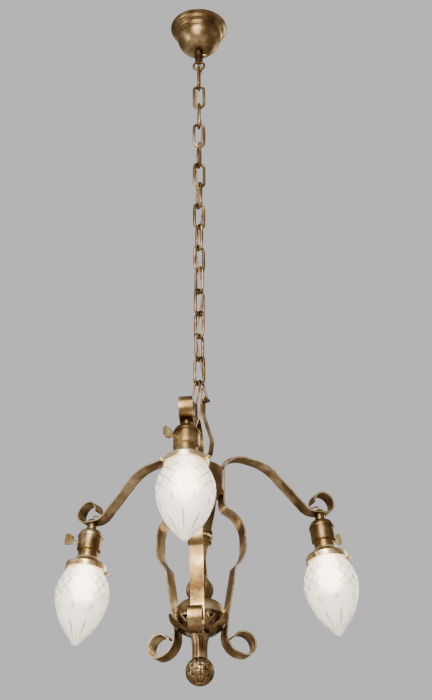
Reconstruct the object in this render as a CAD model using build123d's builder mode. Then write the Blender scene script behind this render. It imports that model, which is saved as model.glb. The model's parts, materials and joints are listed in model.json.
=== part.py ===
from build123d import *
from math import atan2, cos, degrees, pi, radians, sin, sqrt, tan
import os

# Three-arm strap chandelier on a long chain, in millimetres with +Z up.
# The origin is the centre of the ceiling bar's top face and everything hangs below it.

# Ceiling bar, pipe nipple and canopy
BAR_WIDTH = 14.0
BAR_THICKNESS = 3.0
BOX_SCREW_SPACING = 69.85
BOX_SCREW_HOLE_R = 2.25
PIPE_R = 4.85
PIPE_BORE_R = 3.2
PIPE_FIT = 0.05
NUT_FLATS = 14.0
NUT_HEIGHT = 4.0
CANOPY_R = 48.0
BAR_END_GAP = 4.0
BAR_LENGTH = 2 * (CANOPY_R - BAR_END_GAP)
CANOPY_DEPTH = 55.0
CANOPY_WALL = 1.2
CANOPY_RIM = 2.5
CANOPY_BEAD_R = 2.2
CANOPY_COVE_R = 9.0
CANOPY_UPPER_BEAD = ((4.8, 8.6), (5.8, 12.2))
CANOPY_LOWER_BEAD = ((10.6, 18.4), (11.4, 22.0))
CANOPY_BOWL_SWELL = 6.85
CANOPY_BOWL_DROP = 45.0
COLLAR_HEIGHT = 15.0
COLLAR_R = 6.6
COLLAR_RIB_R = 7.6
COLLAR_RIB_COUNT = 3
SET_SCREW_R = 1.4
SET_SCREW_LENGTH = 5.0
SET_SCREW_HEAD_R = 2.4

# Loop under the canopy
LOOP_BASE_R = 6.6
LOOP_BASE_HEIGHT = 8.0
LOOP_THREAD_DEPTH = 4.0
LOOP_RING_R = 9.0
LOOP_WIRE_R = 2.0
LOOP_RING_SINK = 3.0

# Chain of oval links
LINK_COUNT = 15
LINK_WIDTH = 21.5
LINK_WINDOW = 41.8
LINK_WIRE_R = 2.4
LINK_GAP = 0.3
LINK_TWIST_ANGLE = 60.0
FIRST_LINK_ANGLE = 90.0

# Supply cord woven through the links
CORD_R = 1.3
CORD_OFFSET = 4.35
CORD_JOINT_DROP = 2.6
CORD_BEND_SHARE = 0.45
WEAVE_BEND_SHARE = 0.2
CORD_TOP_END = (3.2, 3.5, 13.0)
CORD_LAST_WINDOW = (4.2, 0.0, 22.0)
CORD_LAST_END = (6.2, 4.2, 3.2)
CROWN_CORD_START = (4.4, 2.6, -4.4)
CROWN_CORD_SWAY = (2.6, 1.2, -28.0)
CROWN_CORD_DRAW = (0.5, 0.2, -48.0)
CROWN_CORD_END_DEPTH = 10.0

# Crown: two hanger links on a bent strap yoke with two hooks
HANGER_WIDTH = 15.5
HANGER_WIRE_R = 1.6
HANGER_SPREAD = 2.2
HANGER_SEAT = 1.1
YOKE_WIDTH = 8.0
YOKE_THICKNESS = 2.5
YOKE_SEAT_R = 10.0
YOKE_FOOT_REACH = 19.0
YOKE_BULGE_REACH = 22.5
YOKE_BULGE_RISE = 25.0
YOKE_NECK_REACH = 7.0
YOKE_NECK_RISE = 75.0
YOKE_HOOK_REACH = 7.4
YOKE_HOOK_RISE = 97.0
YOKE_HOOK_R = 4.0
YOKE_HOOK_SWEEP_ANGLE = 190.0
YOKE_BEND_RADII = (10.0, 28.0, 22.0)
CROWN_NUT_R = 8.5
CROWN_NUT_HEIGHT = 12.0
CROWN_NUT_LAND = 4.0
CORD_HOLE_GAP = 0.4

# Hub that carries the arm straps, as rises and drops from the body datum
CROWN_DROP = 182.0
HUB_TOP_RISE = 50.5
HUB_TOP_R = 12.0
HUB_SHOULDER_RISE = 36.0
HUB_SHOULDER_R = 30.0
HUB_R = 35.5
HUB_FLAT_R = 33.75
HUB_TAPER_DROP = 1.0
HUB_BASE_DROP = 5.0
HUB_BASE_R = 28.0
HUB_SCREW_RISES = (23.0, 5.0)
HUB_SCREW_R = 1.9
HUB_SCREW_DEPTH = 8.0
HUB_SCREW_HEAD_R = 3.6
HUB_SCREW_HEAD_HEIGHT = 2.2
SCREW_HOLE_FIT = 0.05

# Turned stem, urn, pierced ball and finial, each part as a fall from the one above it
COLUMN_TOP_R = 25.5
COLUMN_SWELL_R = 20.5
COLUMN_SWELL_FALL = 37.0
COLUMN_NECK_R = 17.2
COLUMN_NECK_FALL = 21.0
COLUMN_BEAD_HEIGHT = 6.0
COLUMN_BEAD_R = 3.4
COLUMN_BAND_R = 16.0
COLUMN_BAND_HEIGHT = 9.0
COLUMN_WAIST_TOP_R = 14.0
COLUMN_WAIST_R = 9.8
COLUMN_WAIST_FALL = 28.0
COLUMN_FOOT_R = 10.8
COLUMN_FOOT_FALL = 20.0
URN_LIP_R = 10.2
URN_R = 19.3
URN_FALL = 22.0
URN_FOOT_R = 9.5
URN_FOOT_FALL = 17.0
BALL_R = 36.5
BALL_FALL = 25.0
BALL_TOP_R = 11.0
BALL_BASE_FALL = 24.0
BALL_BASE_R = 13.0
BALL_WALL = 1.6
PIERCING_R = 4.6
PIERCING_COUNT = 6
PIERCING_FALL = 9.0
FINIAL_COLLAR_R = 13.4
FINIAL_COLLAR_HEIGHT = 5.0
FINIAL_NECK_R = 10.8
FINIAL_NECK_FALL = 15.0
FINIAL_R = 20.0
FINIAL_FALL = 34.5
PIPE_END_FALL = 16.0

# Arm straps, each bent from one flat bar
ARMS = (("front", -90.0), ("right", 30.0), ("left", 150.0))
STRAP_WIDTH = 19.0
STRAP_THICKNESS = 2.5
SEAT_BEND_REACH = 177.0
SEAT_BEND_RISE = 2.9
SEAT_RUN = 27.0
SEAT_AT = 20.0
ARCH_REACH = 107.0
ARCH_OUTER_RISE = 66.5
ARCH_INNER_RISE = 71.0
WAIST_DROP = 20.0
LYRE_REACH = 68.8
LYRE_TOP_FALL = 13.0
LYRE_LENGTH = 61.0
KINK_REACH = 53.0
KINK_FALL = 16.5
BALL_PASS_GAP = 2.2
BALL_PASS_LIFT = 7.0
FOOT_SETBACK = 2.4
FOOT_FALL = 17.0
STRAP_BEND_RADII = (25.0, 12.0, 44.0, 38.0, 12.0, 36.0, 62.0, 24.0)
END_SCROLL_R = 16.2
END_SCROLL_SWEEP_ANGLE = 268.0
FOOT_SCROLL_R = 26.0
FOOT_SCROLL_SWEEP_ANGLE = 95.0
FOOT_RUN = 2.0
FOOT_CURL_R = 17.0
FOOT_CURL_SWEEP_ANGLE = 225.0
FOOT_TAIL = 9.0

# Arm wires, from the hub's shoulder over each strap into its socket nipple
WIRE_R = 1.3
WIRE_LIFT = 0.9
WIRE_HOLE_R = 1.5
WIRE_HOLE_RISE = 28.0
WIRE_SLACK_SHARE = 0.45
WIRE_DIP_BACK = 17.0
WIRE_DIP_LIFT = 7.0
WIRE_ENTRY_LIFT = 13.0
WIRE_END_DEPTH = 3.0

# Key sockets, as drops along each socket's own axis from the strap's underside
SOCKET_TILT_ANGLE = 7.5
NIPPLE_TOP = 7.5
NIPPLE_FOOT = 16.0
SOCKET_NUT_FLATS = 13.0
SOCKET_NUT_HEIGHT = 3.5
CAP_TOP_DROP = 7.0
CAP_NECK_R = 7.5
CAP_NECK_HEIGHT = 3.0
CAP_EDGE_DROP = 20.0
SHELL_TOP_DROP = 22.5
SHELL_BEAD_R = 18.9
SHELL_R = 18.0
SHELL_FOOT_DROP = 42.5
RING_R = 15.0
RING_TOP_DROP = 45.0
RING_FOOT_DROP = 58.0
SHELL_WALL = 0.9
CORE_R = 15.2
CORE_TOP_DROP = 17.0
CORE_FOOT_DROP = 40.0
KEY_DROP = 33.0
KEY_SHAFT_R = 1.7
KEY_FIT = 0.06
KEY_TIP_R = 8.0
KEY_PADDLE_START = 25.0
KEY_PADDLE_LENGTH = 14.0
KEY_PADDLE_HEIGHT = 20.0
KEY_PADDLE_ROOT_HEIGHT = 12.0
KEY_PADDLE_THICKNESS = 3.4
KEY_PADDLE_CORNER = 3.5
KEY_TURN_ANGLES = {"front": -45.0, "right": 18.0, "left": 60.0}

# Shade holder, its three screws, the glass shade and the lamp
HOLDER_TOP_DROP = 54.5
HOLDER_NECK_R = 17.0
HOLDER_THROAT_R = 18.2
HOLDER_THROAT_DROP = 58.5
HOLDER_LIP_R = 30.8
HOLDER_LIP_DROP = 66.0
HOLDER_FOOT_DROP = 75.0
HOLDER_BEND_RADII = (1.2, 6.0, 2.6)
HOLDER_WALL = 1.0
HOLDER_FIT = 0.05
SCREW_DROP = 72.2
SCREW_SHANK_R = 1.5
SCREW_FIT = 0.06
SCREW_TIP_GAP = 0.3
SCREW_SHOULDER_STANDOFF = 1.6
SCREW_SHOULDER_R = 2.3
SCREW_SHOULDER_LENGTH = 1.4
SCREW_HEAD_R = 2.9
SCREW_HEAD_SINK = 0.6
SCREWS_PER_SHADE = 3
SCREW_TURN_ANGLES = {"front": 60.0, "right": -24.0, "left": -4.0}
SHADE_RIM_DROP = 67.5
SHADE_RIM_GAP = 1.0
SHADE_RIM_HEIGHT = 2.6
SHADE_GROOVE_DEPTH = 1.6
SHADE_NECK_DROP = 76.0
SHADE_SWELLS = ((7.2, 9.6), (12.1, 22.8), (13.2, 36.6), (11.5, 53.1), (6.9, 68.8), (-0.8, 84.0))
SHADE_POINT_R = 5.0
SHADE_POINT_FALL = 27.4
SHADE_TIP_FALL = 2.6
SHADE_WALL = 2.4
LAMP_BASE_R = 12.6
LAMP_BASE_TOP_DROP = 40.5
LAMP_BASE_FOOT_DROP = 66.0
LAMP_NECK_R = 11.0
LAMP_NECK_DROP = 70.0
LAMP_R = 18.5
LAMP_WIDEST_DROP = 103.0
LAMP_TIP_DROP = 121.5
LAMP_WALL = 0.8

os.makedirs("parts", exist_ok=True)


def save(piece, name):
    """Label a finished piece and write it out."""
    piece.part.label = name
    export_step(piece.part, f"parts/{name}.step")


def upright(azimuth, height):
    """Vertical plane through the axis: local x runs outward and local y runs up."""
    turn = radians(azimuth)
    return Plane((0, 0, height), x_dir=(cos(turn), sin(turn), 0), z_dir=(sin(turn), -cos(turn), 0))


def facing(azimuth, height):
    """Plane through the axis that looks outward: local x runs level and local y runs up."""
    turn = radians(azimuth)
    return Plane((0, 0, height), x_dir=(-sin(turn), cos(turn), 0), z_dir=(cos(turn), sin(turn), 0))


def wire_link(width, length, wire_r):
    """One oval link in the XZ plane, hung from its top wire's centre at the origin."""
    bend = width / 2 - wire_r
    run = length - 2 * bend
    with BuildPart() as link:
        with BuildLine(Plane.XZ):
            right_side = Line((bend, -bend - run / 2), (bend, -bend))
            top_bend = JernArc(right_side @ 1, (0, 1), bend, 180)
            left_side = Line(top_bend @ 1, (-bend, -bend - run))
            foot_bend = JernArc(left_side @ 1, (0, -1), bend, 180)
            Line(foot_bend @ 1, right_side @ 0)
        with BuildSketch(Plane((bend, 0, -bend - run / 2), x_dir=(1, 0, 0), z_dir=(0, 0, 1))):
            Circle(wire_r)
        sweep()
    return link.part


def bend_radii(points, share=CORD_BEND_SHARE):
    """Bend radius at each inner point of a cord's route, as wide as its runs allow."""
    radii = []
    for before, corner, after in zip(points, points[1:], points[2:]):
        run_in = Vector(*corner) - Vector(*before)
        run_out = Vector(*after) - Vector(*corner)
        half_turn = radians(run_in.get_angle(run_out)) / 2
        radii.append(share * min(run_in.length, run_out.length) / tan(half_turn))
    return radii


def polar(radius, azimuth, height):
    """Point at a radius and azimuth about the axis."""
    return (radius * cos(radians(azimuth)), radius * sin(radians(azimuth)), height)


def cord_length(route):
    """Length along a cord's route."""
    return sum(edge.length for edge in route.edges())


# Heights down the axis and angles that follow from the sizes
loop_base_z = -CANOPY_DEPTH - COLLAR_HEIGHT
loop_ring_z = loop_base_z - LOOP_BASE_HEIGHT + LOOP_RING_SINK - LOOP_RING_R - LOOP_WIRE_R
loop_seat_z = loop_ring_z - LOOP_RING_R
link_length = LINK_WINDOW + 2 * LINK_WIRE_R
link_pitch = LINK_WINDOW - LINK_GAP
link_twist = LINK_TWIST_ANGLE / (LINK_COUNT - 1)
first_top_z = loop_seat_z + LOOP_WIRE_R + LINK_GAP + LINK_WIRE_R
link_tops = [first_top_z - k * link_pitch for k in range(LINK_COUNT)]
link_seats = [top - link_length for top in link_tops]
link_angles = [FIRST_LINK_ANGLE * ((k + 1) % 2) + link_twist * k for k in range(LINK_COUNT)]
chain_seat_z = link_seats[-1]
crown_angle = link_angles[-1]
datum_z = chain_seat_z - CROWN_DROP
column_swell_drop = HUB_BASE_DROP + COLUMN_SWELL_FALL
column_bead_drop = column_swell_drop + COLUMN_NECK_FALL
column_band_drop = column_bead_drop + COLUMN_BEAD_HEIGHT
column_band_foot = column_band_drop + COLUMN_BAND_HEIGHT
column_waist_top = column_band_foot + COLUMN_BEAD_HEIGHT
column_waist_drop = column_waist_top + COLUMN_WAIST_FALL
column_foot_drop = column_waist_drop + COLUMN_FOOT_FALL
urn_drop = column_foot_drop + URN_FALL
urn_foot_drop = urn_drop + URN_FOOT_FALL
ball_drop = urn_foot_drop + BALL_FALL
ball_base_drop = ball_drop + BALL_BASE_FALL
pipe_end_drop = ball_base_drop + PIPE_END_FALL
pipe_hole_r = PIPE_R + PIPE_FIT
wire_lay = STRAP_THICKNESS / 2 + WIRE_LIFT + WIRE_R
wire_reach = HUB_FLAT_R + STRAP_THICKNESS / 2 - wire_lay

# Ceiling bar, bolted to the outlet box and bored for the nipple
with BuildPart() as ceiling_crossbar:
    with BuildSketch():
        SlotOverall(BAR_LENGTH, BAR_WIDTH)
        with GridLocations(BOX_SCREW_SPACING, 0, 2, 1):
            Circle(BOX_SCREW_HOLE_R, mode=Mode.SUBTRACT)
        Circle(pipe_hole_r, mode=Mode.SUBTRACT)
    extrude(amount=-BAR_THICKNESS)
save(ceiling_crossbar, "ceiling_crossbar")

# Hollow nipple from the bar down into the loop
with BuildPart() as canopy_nipple:
    with BuildSketch():
        Circle(PIPE_R)
        Circle(PIPE_BORE_R, mode=Mode.SUBTRACT)
    extrude(amount=loop_base_z - LOOP_THREAD_DEPTH)
save(canopy_nipple, "canopy_nipple")

# Locknut under the bar
with BuildPart() as nipple_locknut:
    with BuildSketch(Plane.XY.offset(-BAR_THICKNESS)):
        RegularPolygon(NUT_FLATS / 2, 6, major_radius=False)
        Circle(pipe_hole_r, mode=Mode.SUBTRACT)
    extrude(amount=-NUT_HEIGHT)
save(nipple_locknut, "nipple_locknut")

# Spun canopy: flared rim, two beads with coves between and a full bowl, all of one wall
upper_bead = [(CANOPY_R - setback, -drop) for setback, drop in CANOPY_UPPER_BEAD]
lower_bead = [(CANOPY_R - setback, -drop) for setback, drop in CANOPY_LOWER_BEAD]
canopy_bowl_r = (lower_bead[1][0] + pipe_hole_r) / 2 + CANOPY_BOWL_SWELL
with BuildPart() as canopy:
    with BuildSketch(Plane.XZ):
        with BuildLine():
            Line((CANOPY_R, 0), (CANOPY_R, -CANOPY_RIM))
            RadiusArc((CANOPY_R, -CANOPY_RIM), upper_bead[0], -CANOPY_COVE_R)
            RadiusArc(upper_bead[0], upper_bead[1], CANOPY_BEAD_R)
            RadiusArc(upper_bead[1], lower_bead[0], -CANOPY_COVE_R)
            RadiusArc(lower_bead[0], lower_bead[1], CANOPY_BEAD_R)
            ThreePointArc(lower_bead[1], (canopy_bowl_r, -CANOPY_BOWL_DROP), (pipe_hole_r, -CANOPY_DEPTH))
            offset(amount=CANOPY_WALL, kind=Kind.INTERSECTION, side=Side.RIGHT)
        make_face()
    revolve(axis=Axis.Z)
    with BuildSketch():
        Circle(pipe_hole_r)
    extrude(amount=-CANOPY_DEPTH - CANOPY_WALL, mode=Mode.SUBTRACT)
save(canopy, "canopy")

# Ribbed collar that holds the canopy up
rib_height = COLLAR_HEIGHT / (2 * COLLAR_RIB_COUNT + 1)
set_screw_z = -CANOPY_DEPTH - COLLAR_HEIGHT / 2
with BuildPart() as canopy_collar:
    with BuildSketch(Plane.XY.offset(-CANOPY_DEPTH)):
        Circle(COLLAR_R)
    extrude(amount=-COLLAR_HEIGHT)
    for rib in range(COLLAR_RIB_COUNT):
        with BuildSketch(Plane.XY.offset(-CANOPY_DEPTH - (2 * rib + 1) * rib_height)):
            Circle(COLLAR_RIB_R)
        extrude(amount=-rib_height)
    with BuildSketch(Plane.XY.offset(-CANOPY_DEPTH)):
        Circle(pipe_hole_r)
    extrude(amount=-COLLAR_HEIGHT, mode=Mode.SUBTRACT)
    with BuildSketch(facing(0, set_screw_z)):
        Circle(SET_SCREW_R + PIPE_FIT)
    extrude(amount=2 * COLLAR_RIB_R, mode=Mode.SUBTRACT)
save(canopy_collar, "canopy_collar")

# Set screw with a ball head, bearing on the nipple
with BuildPart() as collar_set_screw:
    with BuildSketch(facing(0, set_screw_z).offset(pipe_hole_r)):
        Circle(SET_SCREW_R)
    extrude(amount=SET_SCREW_LENGTH)
    with Locations((pipe_hole_r + SET_SCREW_LENGTH + SET_SCREW_HEAD_R / 2, 0, set_screw_z)):
        Sphere(SET_SCREW_HEAD_R)
save(collar_set_screw, "collar_set_screw")

# Loop: a threaded base with a round wire ring below it
with BuildPart() as canopy_loop:
    with BuildSketch(Plane.XY.offset(loop_base_z)):
        Circle(LOOP_BASE_R)
    extrude(amount=-LOOP_BASE_HEIGHT)
    with BuildSketch(Plane.XY.offset(loop_base_z)):
        Circle(pipe_hole_r)
    extrude(amount=-LOOP_THREAD_DEPTH, mode=Mode.SUBTRACT)
    with Locations(Location((0, 0, loop_ring_z), (90, 0, 0))):
        Torus(LOOP_RING_R, LOOP_WIRE_R)
save(canopy_loop, "canopy_loop")

# Chain: the first and last links move on their own, the rest ride together
link_shape = wire_link(LINK_WIDTH, link_length, LINK_WIRE_R)
link_groups = {
    "chain_link_first": range(0, 1),
    "chain_links": range(1, LINK_COUNT - 1),
    "chain_link_last": range(LINK_COUNT - 1, LINK_COUNT),
}
for group_name, members in link_groups.items():
    with BuildPart() as chain_group:
        for k in members:
            with Locations(Location((0, 0, link_tops[k]), (0, 0, link_angles[k]))):
                add(link_shape)
    save(chain_group, group_name)

# Supply cord: it passes between the wires where two links meet and crosses every window
weave_r = CORD_OFFSET * sqrt(2)
weave_lift = (2 * LINK_WIRE_R + LINK_GAP) / 2
weave = []
for k in range(LINK_COUNT + 1):
    meet_z = loop_seat_z if k == 0 else link_seats[k - 1]
    turn = link_twist * (k - 0.5) + 45 + 90 * k
    weave.append(Vector(*polar(weave_r, turn, meet_z + weave_lift)))


def below_joint(k):
    """Point on the weave just under the joint between two links."""
    share = (weave_lift + CORD_JOINT_DROP) / (weave[k].Z - weave[k + 1].Z)
    return weave[k] + (weave[k + 1] - weave[k]) * share


def crown_point(offset_point):
    """Point given along and across the crown's plane from the chain's lowest wire."""
    along, across, rise = offset_point
    return Vector(along, across, 0).rotate(Axis.Z, crown_angle - 180) + Vector(0, 0, chain_seat_z + rise)


crown_top_rise = HUB_TOP_RISE + YOKE_THICKNESS + CROWN_NUT_HEIGHT
crown_end = Vector(0, 0, datum_z + crown_top_rise - CROWN_CORD_END_DEPTH)
crown_lead = Vector(0, 0, datum_z + crown_top_rise + CROWN_CORD_END_DEPTH)
top_end = Vector(*CORD_TOP_END) + Vector(0, 0, loop_seat_z)
last = LINK_COUNT - 1
cord_routes = {
    "supply_cord_first": [top_end, weave[0], weave[1]],
    "supply_cord": [below_joint(1)] + weave[2:LINK_COUNT],
    "supply_cord_last": [below_joint(last), crown_point(CORD_LAST_WINDOW), crown_point(CORD_LAST_END)],
    "crown_cord": [
        crown_point(CROWN_CORD_START),
        crown_point(CROWN_CORD_SWAY),
        crown_point(CROWN_CORD_DRAW),
        crown_lead,
        crown_end,
    ],
}
for cord_name, stations in cord_routes.items():
    points = [tuple(station) for station in stations]
    radii = bend_radii(points, WEAVE_BEND_SHARE if cord_name == "supply_cord" else CORD_BEND_SHARE)
    with BuildPart() as cord:
        with BuildLine() as route:
            FilletPolyline(*points, radius=radii)
        with BuildSketch(Plane(route.line @ 0, z_dir=route.line % 0)):
            Circle(CORD_R)
        sweep()
    print(cord_name, "length", round(cord_length(route.line), 1), "volume", round(cord.part.volume, 1),
          "section x length", round(pi * CORD_R**2 * cord_length(route.line), 1))
    print("  bend radii", [round(r, 1) for r in radii])
    save(cord, cord_name)

# Yoke: one strap from hook to hook, flat over the hub
crown_plane = upright(crown_angle - 180, datum_z + HUB_TOP_RISE + YOKE_THICKNESS / 2)
with BuildPart() as crown_yoke:
    for side in (1, -1):
        with BuildSketch(crown_plane):
            with BuildLine():
                half = FilletPolyline(
                    (0, 0),
                    (side * YOKE_FOOT_REACH, 0),
                    (side * YOKE_BULGE_REACH, YOKE_BULGE_RISE),
                    (side * YOKE_NECK_REACH, YOKE_NECK_RISE),
                    (side * YOKE_HOOK_REACH, YOKE_HOOK_RISE),
                    radius=YOKE_BEND_RADII,
                )
                JernArc(half @ 1, half % 1, YOKE_HOOK_R, -side * YOKE_HOOK_SWEEP_ANGLE)
                offset(amount=YOKE_THICKNESS / 2, side=Side.BOTH)
            make_face()
        extrude(amount=YOKE_WIDTH / 2, both=True)
    with BuildSketch(Plane.XY.offset(datum_z + HUB_TOP_RISE)):
        Circle(YOKE_SEAT_R)
    extrude(amount=YOKE_THICKNESS)
    with BuildSketch(Plane.XY.offset(datum_z + HUB_TOP_RISE)):
        Circle(pipe_hole_r)
    extrude(amount=YOKE_THICKNESS, mode=Mode.SUBTRACT)
save(crown_yoke, "crown_yoke")

# Two hanger links lean apart from the chain's lowest wire to the yoke's hooks
link_bend_r = LINK_WIDTH / 2 - LINK_WIRE_R
wire_rise = link_bend_r - sqrt(link_bend_r**2 - HANGER_SPREAD**2)
hanger_top_rise = wire_rise + LINK_WIRE_R + LINK_GAP + HANGER_WIRE_R
hook_reach = YOKE_HOOK_REACH + YOKE_HOOK_R
hook_z = datum_z + HUB_TOP_RISE + YOKE_THICKNESS / 2 + YOKE_HOOK_RISE
hanger_drop = chain_seat_z + hanger_top_rise - (hook_z - HANGER_SEAT)
hanger_lean = degrees(atan2(hook_reach - HANGER_SPREAD, hanger_drop))
hanger_length = sqrt(hanger_drop**2 + (hook_reach - HANGER_SPREAD) ** 2)
hanger_shape = wire_link(HANGER_WIDTH, hanger_length, HANGER_WIRE_R)
with BuildPart() as hanger_links:
    for side in (1, -1):
        hang_point = crown_point((side * HANGER_SPREAD, 0, hanger_top_rise))
        with Locations(Location(tuple(hang_point), (0, 0, crown_angle - 90))):
            add(hanger_shape, rotation=(-side * hanger_lean, 0, 0))
save(hanger_links, "hanger_links")

# Domed nut over the yoke, drilled for the cord
dome_rise = CROWN_NUT_HEIGHT - CROWN_NUT_LAND
crown_dome_r = (CROWN_NUT_R**2 + dome_rise**2) / (2 * dome_rise)
with BuildPart() as crown_nut:
    with BuildSketch(upright(0, datum_z + HUB_TOP_RISE + YOKE_THICKNESS)):
        with BuildLine():
            Polyline((0, CROWN_NUT_HEIGHT), (0, 0), (CROWN_NUT_R, 0), (CROWN_NUT_R, CROWN_NUT_LAND))
            RadiusArc((CROWN_NUT_R, CROWN_NUT_LAND), (0, CROWN_NUT_HEIGHT), -crown_dome_r)
        make_face()
    revolve(axis=Axis.Z)
    with BuildSketch(Plane.XY.offset(datum_z + HUB_TOP_RISE + YOKE_THICKNESS)):
        Circle(pipe_hole_r)
    extrude(amount=CROWN_NUT_HEIGHT / 2, mode=Mode.SUBTRACT)
    with BuildSketch(Plane.XY.offset(datum_z + HUB_TOP_RISE + YOKE_THICKNESS)):
        Circle(CORD_R + CORD_HOLE_GAP)
    extrude(amount=CROWN_NUT_HEIGHT, mode=Mode.SUBTRACT)
save(crown_nut, "crown_nut")

# Hub: a turned body with a flat, two screw holes and a wire hole for each arm
with BuildPart() as hub:
    with BuildSketch(upright(0, datum_z)):
        with BuildLine():
            Polyline(
                (0, HUB_TOP_RISE),
                (0, -HUB_BASE_DROP),
                (HUB_BASE_R, -HUB_BASE_DROP),
                (HUB_R, -HUB_TAPER_DROP),
                (HUB_R, HUB_SHOULDER_RISE - HUB_R + HUB_SHOULDER_R),
            )
            RadiusArc(
                (HUB_R, HUB_SHOULDER_RISE - HUB_R + HUB_SHOULDER_R),
                (HUB_SHOULDER_R, HUB_SHOULDER_RISE),
                HUB_SHOULDER_R - HUB_R,
            )
            Polyline((HUB_SHOULDER_R, HUB_SHOULDER_RISE), (HUB_TOP_R, HUB_TOP_RISE), (0, HUB_TOP_RISE))
        make_face()
    revolve(axis=Axis.Z)
    with BuildSketch(Plane.XY.offset(datum_z - HUB_BASE_DROP)):
        RegularPolygon(HUB_FLAT_R, len(ARMS), major_radius=False, rotation=ARMS[0][1] + 180)
    extrude(amount=HUB_BASE_DROP + HUB_TOP_RISE, mode=Mode.INTERSECT)
    with BuildSketch(Plane.XY.offset(datum_z - HUB_BASE_DROP)):
        Circle(pipe_hole_r)
    extrude(amount=HUB_BASE_DROP + HUB_TOP_RISE, mode=Mode.SUBTRACT)
    for arm_name, azimuth in ARMS:
        for rise in HUB_SCREW_RISES:
            with BuildSketch(facing(azimuth, datum_z + rise).offset(HUB_FLAT_R)):
                Circle(HUB_SCREW_R + SCREW_HOLE_FIT)
            extrude(amount=-HUB_SCREW_DEPTH, mode=Mode.SUBTRACT)
        with BuildSketch(Plane(polar(wire_reach, azimuth, datum_z + WIRE_HOLE_RISE))):
            Circle(WIRE_HOLE_R)
        extrude(amount=HUB_TOP_RISE - WIRE_HOLE_RISE, mode=Mode.SUBTRACT)
save(hub, "hub")

# Round-head screws through the straps into the hub
strap_face_r = HUB_FLAT_R + STRAP_THICKNESS
head_curve_r = (HUB_SCREW_HEAD_R**2 + HUB_SCREW_HEAD_HEIGHT**2) / (2 * HUB_SCREW_HEAD_HEIGHT)
with BuildPart() as hub_screws:
    for arm_name, azimuth in ARMS:
        for rise in HUB_SCREW_RISES:
            screw_section = upright(azimuth, datum_z + rise)
            with BuildSketch(screw_section):
                with BuildLine():
                    Polyline(
                        (strap_face_r + HUB_SCREW_HEAD_HEIGHT, 0),
                        (HUB_FLAT_R - HUB_SCREW_DEPTH, 0),
                        (HUB_FLAT_R - HUB_SCREW_DEPTH, HUB_SCREW_R),
                        (strap_face_r, HUB_SCREW_R),
                        (strap_face_r, HUB_SCREW_HEAD_R),
                    )
                    RadiusArc(
                        (strap_face_r, HUB_SCREW_HEAD_R),
                        (strap_face_r + HUB_SCREW_HEAD_HEIGHT, 0),
                        head_curve_r,
                    )
                make_face()
            revolve(axis=Axis(screw_section.origin, screw_section.x_dir))
save(hub_screws, "hub_screws")

# Pipe that ties the crown, hub, stem, ball and finial together
with BuildPart() as stem_tube:
    with BuildSketch(Plane.XY.offset(datum_z + HUB_TOP_RISE + YOKE_THICKNESS + CROWN_NUT_HEIGHT / 2)):
        Circle(PIPE_R)
        Circle(PIPE_BORE_R, mode=Mode.SUBTRACT)
    extrude(amount=-pipe_end_drop - HUB_TOP_RISE - YOKE_THICKNESS - CROWN_NUT_HEIGHT / 2)
save(stem_tube, "stem_tube")

# Trumpet column with two beads and a band between them
with BuildPart() as stem_column:
    with BuildSketch(upright(0, datum_z)):
        with BuildLine():
            Polyline(
                (pipe_hole_r, -column_foot_drop),
                (pipe_hole_r, -HUB_BASE_DROP),
                (COLUMN_TOP_R, -HUB_BASE_DROP),
            )
            ThreePointArc(
                (COLUMN_TOP_R, -HUB_BASE_DROP),
                (COLUMN_SWELL_R, -column_swell_drop),
                (COLUMN_NECK_R, -column_bead_drop),
            )
            RadiusArc((COLUMN_NECK_R, -column_bead_drop), (COLUMN_BAND_R, -column_band_drop), COLUMN_BEAD_R)
            Line((COLUMN_BAND_R, -column_band_drop), (COLUMN_BAND_R, -column_band_foot))
            band_end = (COLUMN_BAND_R, -column_band_foot)
            RadiusArc(band_end, (COLUMN_WAIST_TOP_R, -column_waist_top), COLUMN_BEAD_R)
            TangentArc(
                (COLUMN_WAIST_R, -column_waist_drop),
                (COLUMN_WAIST_TOP_R, -column_waist_top),
                tangent=(0, 1),
            )
            Polyline(
                (COLUMN_WAIST_R, -column_waist_drop),
                (COLUMN_FOOT_R, -column_foot_drop),
                (pipe_hole_r, -column_foot_drop),
            )
        make_face()
    revolve(axis=Axis.Z)
save(stem_column, "stem_column")

# Urn knop
with BuildPart() as stem_urn:
    with BuildSketch(upright(0, datum_z)):
        with BuildLine():
            Polyline(
                (URN_FOOT_R, -urn_foot_drop),
                (pipe_hole_r, -urn_foot_drop),
                (pipe_hole_r, -column_foot_drop),
                (URN_LIP_R, -column_foot_drop),
            )
            TangentArc((URN_LIP_R, -column_foot_drop), (URN_R, -urn_drop), tangent=(0, -1))
            TangentArc((URN_R, -urn_drop), (URN_FOOT_R, -urn_foot_drop), tangent=(0, -1))
        make_face()
    revolve(axis=Axis.Z)
save(stem_urn, "stem_urn")

# Ball: two spun halves that meet at the equator, the lower one pierced
ball_halves = {
    "ball_upper": (BALL_TOP_R, -urn_foot_drop),
    "ball_lower": (BALL_BASE_R, -ball_base_drop),
}
for half_name, pole in ball_halves.items():
    inward = 1 if pole[1] > -ball_drop else -1
    with BuildPart() as ball_half:
        with BuildSketch(upright(0, datum_z)):
            with BuildLine():
                TangentArc((BALL_R, -ball_drop), pole, tangent=(0, inward))
                Line(pole, (pipe_hole_r, pole[1]))
                inner_side = Side.LEFT if inward > 0 else Side.RIGHT
                offset(amount=-BALL_WALL, kind=Kind.INTERSECTION, side=inner_side)
            make_face()
        revolve(axis=Axis.Z)
        if half_name == "ball_lower":
            for n in range(PIERCING_COUNT):
                hole_turn = ARMS[0][1] + (n + 0.5) * 360 / PIERCING_COUNT
                with BuildSketch(facing(hole_turn, datum_z - ball_drop - PIERCING_FALL).offset(BALL_R / 2)):
                    RegularPolygon(PIERCING_R, 3, rotation=-90)
                extrude(amount=BALL_R, mode=Mode.SUBTRACT)
    save(ball_half, half_name)

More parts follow.
